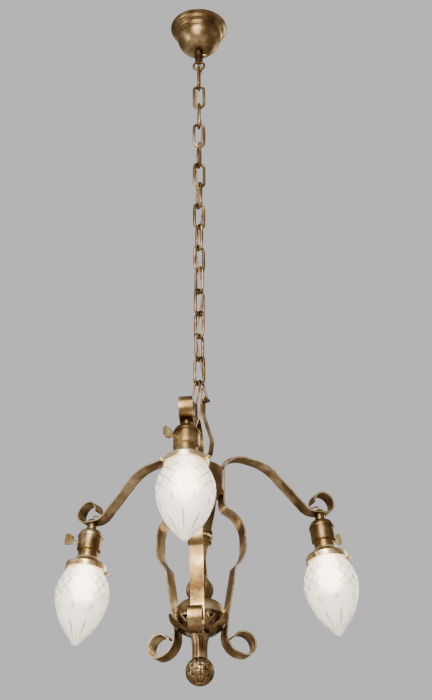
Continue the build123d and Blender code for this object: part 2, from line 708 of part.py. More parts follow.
# Finial: collar, neck and ball on the pipe's end
with BuildPart() as finial:
    collar_foot = -ball_base_drop - FINIAL_COLLAR_HEIGHT
    neck_drop = ball_base_drop + FINIAL_COLLAR_HEIGHT + FINIAL_NECK_FALL
    finial_drop = neck_drop + FINIAL_FALL
    ball_meet = -finial_drop + sqrt(FINIAL_R**2 - FINIAL_NECK_R**2)
    with BuildSketch(upright(0, datum_z)):
        with BuildLine():
            Polyline(
                (0, -ball_base_drop),
                (FINIAL_COLLAR_R, -ball_base_drop),
                (FINIAL_COLLAR_R, collar_foot),
                (FINIAL_NECK_R, -neck_drop),
                (FINIAL_NECK_R, ball_meet),
                (0, ball_meet),
                close=True,
            )
        make_face()
    revolve(axis=Axis.Z)
    with Locations((0, 0, datum_z - finial_drop)):
        Sphere(FINIAL_R)
    with BuildSketch(Plane.XY.offset(datum_z - ball_base_drop)):
        Circle(pipe_hole_r)
    extrude(amount=ball_base_drop - pipe_end_drop, mode=Mode.SUBTRACT)
save(finial, "finial")


def seat_plane(azimuth):
    """Plane of the strap's underside at a socket: local x runs outward and local z up."""
    turn = radians(azimuth)
    tilt = radians(SOCKET_TILT_ANGLE)
    seat_r = SEAT_BEND_REACH + SEAT_AT * cos(tilt) + STRAP_THICKNESS / 2 * sin(tilt)
    seat_z = SEAT_BEND_RISE + SEAT_AT * sin(tilt) - STRAP_THICKNESS / 2 * cos(tilt)
    along = (cos(tilt) * cos(turn), cos(tilt) * sin(turn), sin(tilt))
    upward = (-sin(tilt) * cos(turn), -sin(tilt) * sin(turn), cos(tilt))
    return Plane(polar(seat_r, azimuth, datum_z + seat_z), x_dir=along, z_dir=upward)


def turned_section(seat, turn=0.0):
    """Plane through a socket's axis: local x runs out at the given turn and local y up."""
    out = seat.x_dir * cos(radians(turn)) + seat.y_dir * sin(radians(turn))
    return Plane(seat.origin, x_dir=out, z_dir=out.cross(seat.z_dir))


def cross_plane(seat, turn, drop):
    """Plane through a socket's axis that looks out at the given turn."""
    out = seat.x_dir * cos(radians(turn)) + seat.y_dir * sin(radians(turn))
    return Plane(seat.origin - seat.z_dir * drop, x_dir=seat.z_dir.cross(out), z_dir=out)


def lean(start, end):
    """How far a stretch of an outline leans in from straight down."""
    return atan2(start[0] - end[0], start[1] - end[1])


def inset(outline, wall):
    """An outline that runs down, moved in by a wall's thickness."""
    leans = [lean(*pair) for pair in zip(outline, outline[1:])]
    moved = []
    for corner, above, below in zip(outline, leans[:1] + leans, leans + leans[-1:]):
        step = wall / cos((above - below) / 2)
        middle = (above + below) / 2
        moved.append((corner[0] - step * cos(middle), corner[1] + step * sin(middle)))
    return moved


def ball_radii(outline):
    """Radius at each inner corner of an outline that turns the corner into a zone of a ball."""
    radii = []
    for before, corner, after in zip(outline, outline[1:], outline[2:]):
        above = lean(before, corner)
        below = lean(corner, after)
        radii.append(corner[0] / cos((above + below) / 2) * cos((above - below) / 2))
    return radii


seats = {arm_name: seat_plane(azimuth) for arm_name, azimuth in ARMS}
shade_rim_r = HOLDER_LIP_R - HOLDER_WALL - SHADE_RIM_GAP
shade_groove_r = shade_rim_r - SHADE_GROOVE_DEPTH
shade_outer = [(shade_groove_r, -SHADE_NECK_DROP)]
shade_outer += [(shade_groove_r + swell, -SHADE_NECK_DROP - fall) for swell, fall in SHADE_SWELLS]
shade_outer += [(SHADE_POINT_R, shade_outer[-1][1] - SHADE_POINT_FALL)]
shade_tip = (0, shade_outer[-1][1] - SHADE_TIP_FALL)
shade_inner = inset(shade_outer, SHADE_WALL)
shade_tip_r = (SHADE_POINT_R**2 + SHADE_TIP_FALL**2) / (2 * SHADE_TIP_FALL)
seat_rise = SEAT_RUN * sin(radians(SOCKET_TILT_ANGLE))
ball_pass_reach = BALL_R + BALL_PASS_GAP + STRAP_THICKNESS / 2
lyre_foot_drop = WAIST_DROP + LYRE_TOP_FALL + LYRE_LENGTH
strap_route = [
    (ball_pass_reach - FOOT_SETBACK, -ball_drop - FOOT_FALL),
    (ball_pass_reach, -ball_drop + BALL_PASS_LIFT),
    (KINK_REACH, -lyre_foot_drop - KINK_FALL),
    (LYRE_REACH, -lyre_foot_drop),
    (LYRE_REACH, -lyre_foot_drop + LYRE_LENGTH),
    (HUB_FLAT_R + STRAP_THICKNESS / 2, -WAIST_DROP),
    (HUB_FLAT_R + STRAP_THICKNESS / 2, ARCH_INNER_RISE),
    (ARCH_REACH, ARCH_OUTER_RISE),
    (SEAT_BEND_REACH, SEAT_BEND_RISE),
    (SEAT_BEND_REACH + SEAT_RUN * cos(radians(SOCKET_TILT_ANGLE)), SEAT_BEND_RISE + seat_rise),
]

# Arm straps: foot scroll, lyre, waist on the hub, arch, socket seat and end scroll in one bar
for arm_name, azimuth in ARMS:
    with BuildPart() as arm_strap:
        with BuildSketch(upright(azimuth, datum_z)):
            with BuildLine():
                body = FilletPolyline(*strap_route, radius=STRAP_BEND_RADII)
                JernArc(body @ 1, body % 1, END_SCROLL_R, END_SCROLL_SWEEP_ANGLE)
                foot = JernArc(body @ 0, -(body % 0), FOOT_SCROLL_R, FOOT_SCROLL_SWEEP_ANGLE)
                run = Line(foot @ 1, foot @ 1 + (foot % 1) * FOOT_RUN)
                curl = JernArc(run @ 1, run % 1, FOOT_CURL_R, FOOT_CURL_SWEEP_ANGLE)
                Line(curl @ 1, curl @ 1 + (curl % 1) * FOOT_TAIL)
                offset(amount=STRAP_THICKNESS / 2, side=Side.BOTH)
            make_face()
        extrude(amount=STRAP_WIDTH / 2, both=True)
        with BuildSketch(seats[arm_name]):
            Circle(pipe_hole_r)
        extrude(amount=2 * STRAP_THICKNESS, both=True, mode=Mode.SUBTRACT)
        for rise in HUB_SCREW_RISES:
            with BuildSketch(facing(azimuth, datum_z + rise).offset(HUB_FLAT_R)):
                Circle(HUB_SCREW_R + SCREW_HOLE_FIT)
            extrude(amount=2 * STRAP_THICKNESS, both=True, mode=Mode.SUBTRACT)
    save(arm_strap, f"arm_strap_{arm_name}")

# Socket nipples through the straps, with a locknut on top of each
with BuildPart() as socket_nipples:
    for seat in seats.values():
        with BuildSketch(seat.offset(-NIPPLE_FOOT)):
            Circle(PIPE_R)
            Circle(PIPE_BORE_R, mode=Mode.SUBTRACT)
        extrude(amount=NIPPLE_FOOT + NIPPLE_TOP)
save(socket_nipples, "socket_nipples")

with BuildPart() as socket_nuts:
    for seat in seats.values():
        with BuildSketch(seat.offset(STRAP_THICKNESS)):
            RegularPolygon(SOCKET_NUT_FLATS / 2, 6, major_radius=False)
            Circle(pipe_hole_r, mode=Mode.SUBTRACT)
        extrude(amount=SOCKET_NUT_HEIGHT)
        with BuildSketch(seat.offset(-CAP_TOP_DROP)):
            Circle(CAP_NECK_R)
            Circle(pipe_hole_r, mode=Mode.SUBTRACT)
        extrude(amount=CAP_TOP_DROP)
save(socket_nuts, "socket_nuts")

for arm_name, azimuth in ARMS:
    seat = seats[arm_name]
    socket_axis = Axis(seat.origin, seat.z_dir)
    key_turn = KEY_TURN_ANGLES[arm_name]
    screw_turns = [SCREW_TURN_ANGLES[arm_name] + n * 360 / SCREWS_PER_SHADE for n in range(SCREWS_PER_SHADE)]

    # Socket cap: threaded neck and spun dome with a beaded edge
    with BuildPart() as socket_cap:
        with BuildSketch(turned_section(seat)):
            with BuildLine():
                neck_foot = -CAP_TOP_DROP - CAP_NECK_HEIGHT
                dome_edge = (SHELL_R, -CAP_EDGE_DROP)
                Line((pipe_hole_r, neck_foot), (CAP_NECK_R, neck_foot))
                TangentArc((SHELL_R, -CAP_EDGE_DROP), (CAP_NECK_R, neck_foot), tangent=(0, 1))
                Polyline(dome_edge, (SHELL_BEAD_R, -CAP_EDGE_DROP), (SHELL_BEAD_R, -SHELL_TOP_DROP))
                offset(amount=SHELL_WALL, kind=Kind.INTERSECTION, side=Side.RIGHT)
            make_face()
        revolve(axis=socket_axis)
        with BuildSketch(seat.offset(-CAP_TOP_DROP)):
            Circle(CAP_NECK_R)
        extrude(amount=-CAP_NECK_HEIGHT - SHELL_WALL)
        with BuildSketch(seat):
            Circle(pipe_hole_r)
        extrude(amount=-NIPPLE_FOOT, mode=Mode.SUBTRACT)
    save(socket_cap, f"socket_cap_{arm_name}")

    # Socket shell: straight body, step and lower ring, with the key's hole
    with BuildPart() as socket_shell:
        with BuildSketch(turned_section(seat)):
            with BuildLine():
                Polyline(
                    (SHELL_R, -SHELL_TOP_DROP),
                    (SHELL_R, -SHELL_FOOT_DROP),
                    (RING_R, -RING_TOP_DROP),
                    (RING_R, -RING_FOOT_DROP),
                )
                offset(amount=SHELL_WALL, kind=Kind.INTERSECTION, side=Side.RIGHT)
            make_face()
        revolve(axis=socket_axis)
        with BuildSketch(cross_plane(seat, key_turn, KEY_DROP)):
            Circle(KEY_SHAFT_R + KEY_FIT)
        extrude(amount=2 * SHELL_R, mode=Mode.SUBTRACT)
    save(socket_shell, f"socket_shell_{arm_name}")

    # Turn key: shaft and a paddle that widens outward
    with BuildPart() as socket_key:
        with BuildSketch(cross_plane(seat, key_turn, KEY_DROP).offset(KEY_TIP_R)):
            Circle(KEY_SHAFT_R)
        extrude(amount=KEY_PADDLE_START + KEY_PADDLE_LENGTH / 2 - KEY_TIP_R)
        with BuildSketch(turned_section(seat, key_turn)):
            paddle_end = KEY_PADDLE_START + KEY_PADDLE_LENGTH
            with BuildLine():
                Polyline(
                    (KEY_PADDLE_START, -KEY_DROP - KEY_PADDLE_ROOT_HEIGHT / 2),
                    (paddle_end, -KEY_DROP - KEY_PADDLE_HEIGHT / 2),
                    (paddle_end, -KEY_DROP + KEY_PADDLE_HEIGHT / 2),
                    (KEY_PADDLE_START, -KEY_DROP + KEY_PADDLE_ROOT_HEIGHT / 2),
                    close=True,
                )
            paddle = make_face()
            fillet(paddle.vertices(), KEY_PADDLE_CORNER)
        extrude(amount=KEY_PADDLE_THICKNESS / 2, both=True)
    save(socket_key, f"socket_key_{arm_name}")

    # Shade holder: spun flare clamped on the socket's ring, drilled for its screws
    with BuildPart() as shade_holder:
        with BuildSketch(turned_section(seat)):
            with BuildLine():
                FilletPolyline(
                    (RING_R + HOLDER_FIT, -HOLDER_TOP_DROP),
                    (HOLDER_NECK_R, -HOLDER_TOP_DROP),
                    (HOLDER_THROAT_R, -HOLDER_THROAT_DROP),
                    (HOLDER_LIP_R, -HOLDER_LIP_DROP),
                    (HOLDER_LIP_R, -HOLDER_FOOT_DROP),
                    radius=HOLDER_BEND_RADII,
                )
                offset(amount=HOLDER_WALL, kind=Kind.INTERSECTION, side=Side.RIGHT)
            make_face()
        revolve(axis=socket_axis)
        for turn in screw_turns:
            with BuildSketch(cross_plane(seat, turn, SCREW_DROP)):
                Circle(SCREW_SHANK_R + SCREW_FIT)
            extrude(amount=2 * HOLDER_LIP_R, mode=Mode.SUBTRACT)
    save(shade_holder, f"shade_holder_{arm_name}")

    # Shade screws: shank, shoulder and ball head
    shoulder_r = HOLDER_LIP_R + SCREW_SHOULDER_STANDOFF
    head_r = shoulder_r + SCREW_SHOULDER_LENGTH + SCREW_HEAD_R - SCREW_HEAD_SINK
    for n, turn in enumerate(screw_turns):
        screw_base = cross_plane(seat, turn, SCREW_DROP)
        with BuildPart() as shade_screw:
            with BuildSketch(screw_base.offset(shade_groove_r + SCREW_TIP_GAP)):
                Circle(SCREW_SHANK_R)
            extrude(amount=shoulder_r + SCREW_SHOULDER_LENGTH - shade_groove_r)
            with BuildSketch(screw_base.offset(shoulder_r)):
                Circle(SCREW_SHOULDER_R)
            extrude(amount=SCREW_SHOULDER_LENGTH)
            with Locations(screw_base.offset(head_r)):
                Sphere(SCREW_HEAD_R)
        save(shade_screw, f"shade_screw_{arm_name}_{n + 1}")

    # Glass shade: rolled rim, groove for the screws and a pointed acorn body
    with BuildPart() as glass_shade:
        with BuildSketch(turned_section(seat)):
            rim_foot = -SHADE_RIM_DROP - SHADE_RIM_HEIGHT
            with BuildLine():
                Polyline(
                    shade_tip,
                    (0, -SHADE_RIM_DROP),
                    (shade_rim_r, -SHADE_RIM_DROP),
                    (shade_rim_r, rim_foot),
                    (shade_groove_r, rim_foot),
                    shade_outer[0],
                )
                FilletPolyline(*shade_outer, radius=ball_radii(shade_outer))
                RadiusArc(shade_outer[-1], shade_tip, shade_tip_r)
            make_face()
            with BuildLine():
                Polyline(
                    shade_inner[-1],
                    (0, shade_inner[-1][1]),
                    (0, -SHADE_RIM_DROP),
                    (shade_inner[0][0], -SHADE_RIM_DROP),
                    shade_inner[0],
                )
                FilletPolyline(*shade_inner, radius=ball_radii(shade_inner))
            make_face(mode=Mode.SUBTRACT)
        revolve(axis=socket_axis)
    save(glass_shade, f"glass_shade_{arm_name}")

# Insulating cores inside the shells, bored for the keys
with BuildPart() as socket_cores:
    for arm_name, seat in seats.items():
        with BuildSketch(seat.offset(-CORE_TOP_DROP)):
            Circle(CORE_R)
        extrude(amount=CORE_TOP_DROP - CORE_FOOT_DROP)
        with BuildSketch(cross_plane(seat, KEY_TURN_ANGLES[arm_name], KEY_DROP).offset(KEY_TIP_R - KEY_FIT)):
            Circle(KEY_SHAFT_R + KEY_FIT)
        extrude(amount=CORE_R, mode=Mode.SUBTRACT)
save(socket_cores, "socket_cores")

# Lamp bases and bulbs
with BuildPart() as lamp_bases:
    for seat in seats.values():
        with BuildSketch(seat.offset(-LAMP_BASE_TOP_DROP)):
            Circle(LAMP_BASE_R)
        extrude(amount=LAMP_BASE_TOP_DROP - LAMP_BASE_FOOT_DROP)
save(lamp_bases, "lamp_bases")

with BuildPart() as lamp_bulbs:
    for seat in seats.values():
        with BuildSketch(turned_section(seat)):
            with BuildLine():
                Line((LAMP_NECK_R, -LAMP_BASE_FOOT_DROP), (LAMP_NECK_R, -LAMP_NECK_DROP))
                TangentArc((LAMP_R, -LAMP_WIDEST_DROP), (LAMP_NECK_R, -LAMP_NECK_DROP), tangent=(0, 1))
                TangentArc((LAMP_R, -LAMP_WIDEST_DROP), (0, -LAMP_TIP_DROP), tangent=(0, -1))
                offset(amount=LAMP_WALL, kind=Kind.INTERSECTION, side=Side.RIGHT)
            make_face()
        revolve(axis=Axis(seat.origin, seat.z_dir))
save(lamp_bulbs, "lamp_bulbs")

# Arm wires: out of the hub, over the arch, loose along the outer arm and into the nipple
arch_fall = atan2(ARCH_OUTER_RISE - ARCH_INNER_RISE, ARCH_REACH - strap_route[6][0])
reach_fall = atan2(SEAT_BEND_RISE - ARCH_OUTER_RISE, SEAT_BEND_REACH - ARCH_REACH)
arch_turn = (arch_fall + reach_fall) / 2
arch_lay = wire_lay / cos((arch_fall - reach_fall) / 2)
arch_point = (ARCH_REACH - arch_lay * sin(arch_turn), ARCH_OUTER_RISE + arch_lay * cos(arch_turn))
rise_point = (wire_reach, ARCH_INNER_RISE + wire_lay / cos(arch_fall) - wire_lay * tan(arch_fall))
slack_point = (
    arch_point[0] + WIRE_SLACK_SHARE * (SEAT_BEND_REACH - ARCH_REACH),
    arch_point[1] + WIRE_SLACK_SHARE * (SEAT_BEND_RISE - ARCH_OUTER_RISE) + WIRE_LIFT,
)
tilt = radians(SOCKET_TILT_ANGLE)


def over_seat(back, lift):
    """Point in an arm's plane, back along the seat run and above the seat's centre-line."""
    run = SEAT_AT - back
    return (
        SEAT_BEND_REACH + run * cos(tilt) - lift * sin(tilt),
        SEAT_BEND_RISE + run * sin(tilt) + lift * cos(tilt),
    )


wire_points = [
    (wire_reach, WIRE_HOLE_RISE + WIRE_LIFT),
    rise_point,
    arch_point,
    slack_point,
    over_seat(WIRE_DIP_BACK, WIRE_DIP_LIFT),
    over_seat(0, WIRE_ENTRY_LIFT),
    over_seat(0, NIPPLE_TOP - STRAP_THICKNESS / 2 - WIRE_END_DEPTH),
]
wire_route = [(r, 0, z) for r, z in wire_points]
wire_radii = [STRAP_BEND_RADII[5] + wire_lay, STRAP_BEND_RADII[6] + wire_lay] + bend_radii(wire_route)[2:]
with BuildPart() as arm_wires:
    for arm_name, azimuth in ARMS:
        arm_plane = upright(azimuth, datum_z)
        with BuildLine(arm_plane) as route:
            lay = FilletPolyline(*wire_points, radius=wire_radii)
        with BuildSketch(Plane(lay @ 0, z_dir=lay % 0)):
            Circle(WIRE_R)
        sweep(path=lay)
print("arm_wires length each", round(cord_length(route.line), 1), "volume", round(arm_wires.part.volume, 1),
      "section x length", round(3 * pi * WIRE_R**2 * cord_length(route.line), 1))
print("  bend radii", [round(r, 1) for r in wire_radii])
save(arm_wires, "arm_wires")
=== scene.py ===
"""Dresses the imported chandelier: aged brass, cut frosted glass, braided cord and a pale studio."""

import json
import math

import bmesh
import bpy
from mathutils import Matrix, Vector
from mathutils.geometry import interpolate_bezier


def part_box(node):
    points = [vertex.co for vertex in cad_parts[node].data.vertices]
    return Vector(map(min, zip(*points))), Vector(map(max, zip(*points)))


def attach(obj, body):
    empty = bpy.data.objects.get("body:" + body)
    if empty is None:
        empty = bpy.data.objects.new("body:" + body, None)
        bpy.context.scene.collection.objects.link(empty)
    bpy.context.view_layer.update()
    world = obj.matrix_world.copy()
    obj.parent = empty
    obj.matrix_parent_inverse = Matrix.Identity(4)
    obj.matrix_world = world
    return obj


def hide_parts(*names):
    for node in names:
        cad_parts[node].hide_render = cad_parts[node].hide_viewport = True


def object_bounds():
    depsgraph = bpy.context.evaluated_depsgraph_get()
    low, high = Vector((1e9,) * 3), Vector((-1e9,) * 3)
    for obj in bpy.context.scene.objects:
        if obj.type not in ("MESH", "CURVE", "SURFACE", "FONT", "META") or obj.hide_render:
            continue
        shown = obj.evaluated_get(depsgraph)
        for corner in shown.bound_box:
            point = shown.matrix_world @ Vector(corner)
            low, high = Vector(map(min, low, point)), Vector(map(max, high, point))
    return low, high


bl_info = {
    "name": "Strap Chandelier",
    "version": (1, 0, 0),
    "blender": (4, 5, 0),
    "location": "View3D > Sidebar > Chandelier",
    "description": "Finishes a chain-hung strap chandelier with cut-glass shades",
    "category": "Object",
}

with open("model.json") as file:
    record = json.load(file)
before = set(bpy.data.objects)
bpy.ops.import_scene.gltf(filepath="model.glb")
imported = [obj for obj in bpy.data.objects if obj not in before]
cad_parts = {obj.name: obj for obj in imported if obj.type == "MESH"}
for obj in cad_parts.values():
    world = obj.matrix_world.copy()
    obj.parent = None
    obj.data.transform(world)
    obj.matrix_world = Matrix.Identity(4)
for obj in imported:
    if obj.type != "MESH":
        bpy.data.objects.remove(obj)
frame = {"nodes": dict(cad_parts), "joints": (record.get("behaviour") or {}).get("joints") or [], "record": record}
CAD_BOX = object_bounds()
NODES = frame["nodes"]
JOINTS = {joint["name"]: joint for joint in frame["joints"]}
SLOTS = {part["node"]: part["material_slot"] for part in frame["record"]["subparts"]}
ARMS = {"front": -90.0, "right": 30.0, "left": 150.0}
MM = 0.001

# Shading, in metres and degrees, and how squarely a strap's face has to look sideways to take the painted
# highlight
WELD_REACH = 1e-6
CREASE_ANGLE = 32
BEVEL_ANGLE = 50
SIDE_FACING = 0.7

# The key's shaft crosses its socket's axis this far below the strap, mm
KEY_DROP = 33.0

# Urn, in mm from its top
URN_STEPS = 168
URN_BORE_R = 8.0
URN_HEIGHT = 39.0
URN_BENDS = (
    ((10.2, 0.0), (10.2, -8.0), (19.3, -12.0), (19.3, -22.0), 22),
    ((19.3, -22.0), (19.3, -31.0), (14.0, -36.0), (9.5, -URN_HEIGHT), 18),
)
URN_RIBS = 14
URN_RIBS_START = (3, 12)
URN_RIBS_END = (38, 31)

# Finial, in mm from its top: a collar, a waisted neck and a ball
FINIAL_STEPS = 200
FINIAL_COLLAR = [(8.0, 0.0), (13.0, 0.0), (13.4, -0.5), (13.4, -4.4)]
FINIAL_NECK_R = 10.8
FINIAL_NECK_BEND = ((12.9, -5.0), (11.4, -11.0), (FINIAL_NECK_R, -15.0), (FINIAL_NECK_R, -20.0), 12)
FINIAL_NECK_HEIGHTS = (-24.0, -28.0, -32.0, -36.0)
FINIAL_BALL_R = 20.0
FINIAL_BALL_HEIGHT = -54.5
FINIAL_BALL_STEPS = 60
NECK_LOBES = 8
NECK_LOBES_START = (5, 9)
NECK_LOBES_END = (43, 37)
LEAF_ROWS_TOP = 38
LEAF_ROWS_END = 73
LEAF_ROW_HEIGHT = 7
LEAVES_PER_ROW = 9

# Beads on the column's band, in mm from the column's top
BEAD_COUNT = 18
BEAD_R = 2.6
BEAD_SEAT = (16.3, -68.5)

# Leaf tips on the ball, mm, and the turns that put them between the straps
LEAF_TURNS = (-30, 90, 210)
LEAF_WIDTH = 7.0
LEAF_TIP_WIDTH = 0.8
LEAF_DISH = 1.8
LEAF_THICKNESS = 1.1

# Frames round the ball's pierced triangles, in degrees and in mm from the middle of its equator
WINDOW_COUNT = 6
WINDOW_TURN = -60
WINDOW_FALL = 9.0
WINDOW_LEAN = 22.0
WINDOW_SEAT_R = 33.5
WINDOW_FRAME_R = 7.2
WINDOW_FRAME_WIDTH = 1.2
WINDOW_FRAME_HEIGHT = 2.5

# Glass shade, in mm from its socket's seat on the strap
SHADE_STEPS = 256
SHADE_NECK_R = 27.2
SHADE_BELLY_R = 40.0
SHADE_LIP = [(28.4, -67.5), (28.8, -68.0), (28.8, -69.6), (28.6, -70.0), (SHADE_NECK_R, -70.3)]
SHADE_BENDS = (
    ((SHADE_NECK_R, -76.0), (30.6, -81.0), (SHADE_BELLY_R, -96.0), (SHADE_BELLY_R, -112.0), 36),
    ((SHADE_BELLY_R, -112.0), (SHADE_BELLY_R, -131.0), (29.5, -156.0), (20.9, -167.0), 52),
    ((20.9, -167.0), (15.6, -173.8), (10.3, -180.6), (5.0, -187.4), 24),
    ((5.0, -187.4), (3.7, -189.0), (2.0, -190.0), (0.0, -190.0), 6),
)

# Wheel cuts in the shade, mm: a band of crossed cuts, a row of olives and a star at the tip
CROSS_CUTS = 14
CROSS_CUT_RISE = 17
CROSS_BAND_TOP = (87, 91)
CROSS_BAND_FOOT = (127, 123)
OLIVES = 8
OLIVE_PITCH = 29
OLIVE_FALL = 140
OLIVE_HALF_WIDTH = 3.2
OLIVE_HALF_LENGTH = 6
STAR_POINTS = 14
LONG_POINT_TOP = 153
SHORT_POINT_TOP = 169
STAR_TAPER = 14
STAR_FOOT = (189, 184)

# Stage, in metres and watts: each softbox's name, place, width, height and power
SOFTBOXES = (
    ("front_softbox", (-0.45, -2.3, -0.1), 1.3, 2.2, 120.0),
    ("left_softbox", (-2.2, -0.9, -1.1), 0.7, 1.4, 24.0),
    ("back_softbox", (1.6, 1.9, 0.3), 1.2, 1.2, 30.0),
)

# The front lamp's light on the stem: off the axis, below the hub, and how far down it looks
SPILL_AWAY = 0.175
SPILL_DROP = 0.12
SPILL_LOOK_DOWN = 0.02
SPILL_WIDTH = 0.06
SPILL_HEIGHT = 0.12
SPILL_WATTS = 0.3

# The room round the part, in metres
WORLD_STRENGTH = 0.85
FLOOR_SIZE = 15.0
FLOOR_DROP = 1.2
VIEW_END = 50

# The photograph's frame and the lens that was fitted to it, in pixels, metres and degrees
IMAGE_HEIGHT = 700
LENS_PIXELS = 1703
SENSOR_MM = 36.0
CAMERA_AWAY = 2.197
CAMERA_HEIGHT = -2.038
CAMERA_AZIMUTH = 5.0
CAMERA_PITCH = 32.15
CAMERA_YAW = 0.66
CAMERA_ROLL = 0.45


def hex_linear(code):
    """An sRGB hex colour as linear red, green, blue and full alpha."""
    channels = [int(code[i : i + 2], 16) / 255 for i in (1, 3, 5)]
    linear = [c / 12.92 if c <= 0.04045 else ((c + 0.055) / 1.055) ** 2.4 for c in channels]
    return (*linear, 1.0)


def add_node(tree, kind, settings=None, inputs=None):
    """Adds a node, sets its properties, then sets or links its inputs by name or number."""
    node = tree.nodes.new(kind)
    for name, value in (settings or {}).items():
        setattr(node, name, value)
    for name, value in (inputs or {}).items():
        if isinstance(value, bpy.types.NodeSocket):
            tree.links.new(value, node.inputs[name])
        else:
            node.inputs[name].default_value = value
    return node


# Brass dims a little where it turns away
BRASS_SHEEN = hex_linear("#D8D2C6")


class ChandelierSizes(bpy.types.PropertyGroup):
    """Sizes of the finish that a user would change."""

    edge_round: bpy.props.FloatProperty(
        name="Edge round", description="Rounding on the straps' edges", default=0.45 * MM, unit="LENGTH"
    )
    glass_wall: bpy.props.FloatProperty(
        name="Glass wall", description="Thickness of the shades' glass", default=2.4 * MM, unit="LENGTH"
    )
    cut_depth: bpy.props.FloatProperty(
        name="Cut depth", description="Depth of the wheel cuts in the shades",
        default=0.7 * MM, unit="LENGTH",
    )
    relief_depth: bpy.props.FloatProperty(
        name="Relief depth", description="Depth of the cast ornament", default=1.3 * MM, unit="LENGTH"
    )
    leaf_reach: bpy.props.FloatProperty(
        name="Leaf reach", description="How far the ball's leaf tips stand from the stem",
        default=47 * MM, unit="LENGTH",
    )
    glow_strength: bpy.props.FloatProperty(
        name="Glow", description="Brightness of the lamps", default=24.0, min=0
    )


class ChandelierColours(bpy.types.PropertyGroup):
    """Colours of the finishes."""

    brass_light: bpy.props.FloatVectorProperty(
        name="Rubbed brass", description="Brass where hands have rubbed it",
        subtype="COLOR", size=4, min=0, max=1, default=hex_linear("#B69F76"),
    )
    brass_middle: bpy.props.FloatVectorProperty(
        name="Aged brass", description="Brass under its old lacquer",
        subtype="COLOR", size=4, min=0, max=1, default=hex_linear("#755C3A"),
    )
    brass_dark: bpy.props.FloatVectorProperty(
        name="Dark brass", description="Brass where the patina has stayed",
        subtype="COLOR", size=4, min=0, max=1, default=hex_linear("#402D18"),
    )
    brass_hollow: bpy.props.FloatVectorProperty(
        name="Hollows", description="Patina in the hollows of the castings",
        subtype="COLOR", size=4, min=0, max=1, default=hex_linear("#1E1208"),
    )
    glass: bpy.props.FloatVectorProperty(
        name="Frosted glass", description="Acid-frosted glass",
        subtype="COLOR", size=4, min=0, max=1, default=hex_linear("#EFEBE3"),
    )
    glass_cut: bpy.props.FloatVectorProperty(
        name="Cut glass", description="Clear glass at the bottom of a cut",
        subtype="COLOR", size=4, min=0, max=1, default=hex_linear("#8F8880"),
    )
    glow: bpy.props.FloatVectorProperty(
        name="Lamp glow", description="Light of the lamp through the glass",
        subtype="COLOR", size=4, min=0, max=1, default=hex_linear("#FFF0D8"),
    )
    cord: bpy.props.FloatVectorProperty(
        name="Cord", description="Braided cover of the supply cord",
        subtype="COLOR", size=4, min=0, max=1, default=hex_linear("#8E6A38"),
    )
    backdrop: bpy.props.FloatVectorProperty(
        name="Backdrop", description="Pale studio wall",
        subtype="COLOR", size=4, min=0, max=1, default=hex_linear("#E2E0E3"),
    )


def colours():
    """The scene's colours for the finishes."""
    return bpy.context.scene.chandelier_colours


def sizes():
    """The scene's sizes for the finish."""
    return bpy.context.scene.chandelier_sizes


def made_once(build):
    """Makes a material from a shader once, and hands back the same one after that."""

    def make():
        name = f"chandelier_{build.__name__}"
        material = bpy.data.materials.get(name)
        if material is None:
            material = bpy.data.materials.new(name)
            material.use_nodes = True
            material.node_tree.nodes.clear()
            shader = build(material.node_tree)
            add_node(
                material.node_tree, "ShaderNodeOutputMaterial", inputs={"Surface": shader.outputs["BSDF"]}
            )
        return material

    return make


def brass_shader(tree, tint, rough_low, rough_high, grain_mm):
    """Satin metal with a faint mottle, whose hollows hold a dark patina."""
    place = add_node(tree, "ShaderNodeTexCoord").outputs["Object"]
    mottle = add_node(
        tree, "ShaderNodeTexNoise", inputs={"Vector": place, "Scale": 1 / (grain_mm * MM), "Detail": 5.0}
    )
    hollow = add_node(tree, "ShaderNodeAttribute", {"attribute_name": "hollow"})
    colour = add_node(
        tree, "ShaderNodeMix", {"data_type": "RGBA"},
        {"Factor": hollow.outputs["Fac"], "A": tint, "B": colours().brass_hollow},
    )
    rough = add_node(
        tree, "ShaderNodeMapRange",
        inputs={
            "Value": mottle.outputs["Fac"],
            "From Min": 0.3,
            "From Max": 0.7,
            "To Min": rough_low,
            "To Max": rough_high,
        },
    )
    bump = add_node(
        tree, "ShaderNodeBump",
        inputs={"Height": mottle.outputs["Fac"], "Strength": 0.05, "Distance": 0.3 * MM},
    )
    return add_node(
        tree, "ShaderNodeBsdfPrincipled",
        inputs={
            "Base Color": colour.outputs["Result"],
            "Metallic": 1.0,
            "Specular Tint": BRASS_SHEEN,
            "Roughness": rough.outputs["Result"],
            "Normal": bump.outputs["Normal"],
        },
    )


def patina_tint(tree, low, middle, high, cloud_mm):
    """Colour that drifts between three tones in clouds of the given size."""
    place = add_node(tree, "ShaderNodeTexCoord").outputs["Object"]
    clouds = add_node(
        tree, "ShaderNodeTexNoise", inputs={"Vector": place, "Scale": 1 / (cloud_mm * MM), "Detail": 4.0}
    )
    ramp = add_node(tree, "ShaderNodeValToRGB", inputs={"Fac": clouds.outputs["Fac"]})
    stops = ramp.color_ramp.elements
    stops[0].position = 0.3
    stops[0].color = low
    stops[1].position = 0.72
    stops[1].color = high
    stops.new(0.52).color = middle
    return ramp.outputs["Color"]


@made_once
def aged_brass(tree):
    """Rolled and cast brass under old lacquer: brown clouds 30 mm wide, warm where it is worn."""
    tones = colours()
    tint = patina_tint(tree, tones.brass_dark, tones.brass_middle, tones.brass_light, 30)
    return brass_shader(tree, tint, 0.27, 0.42, 3.5)


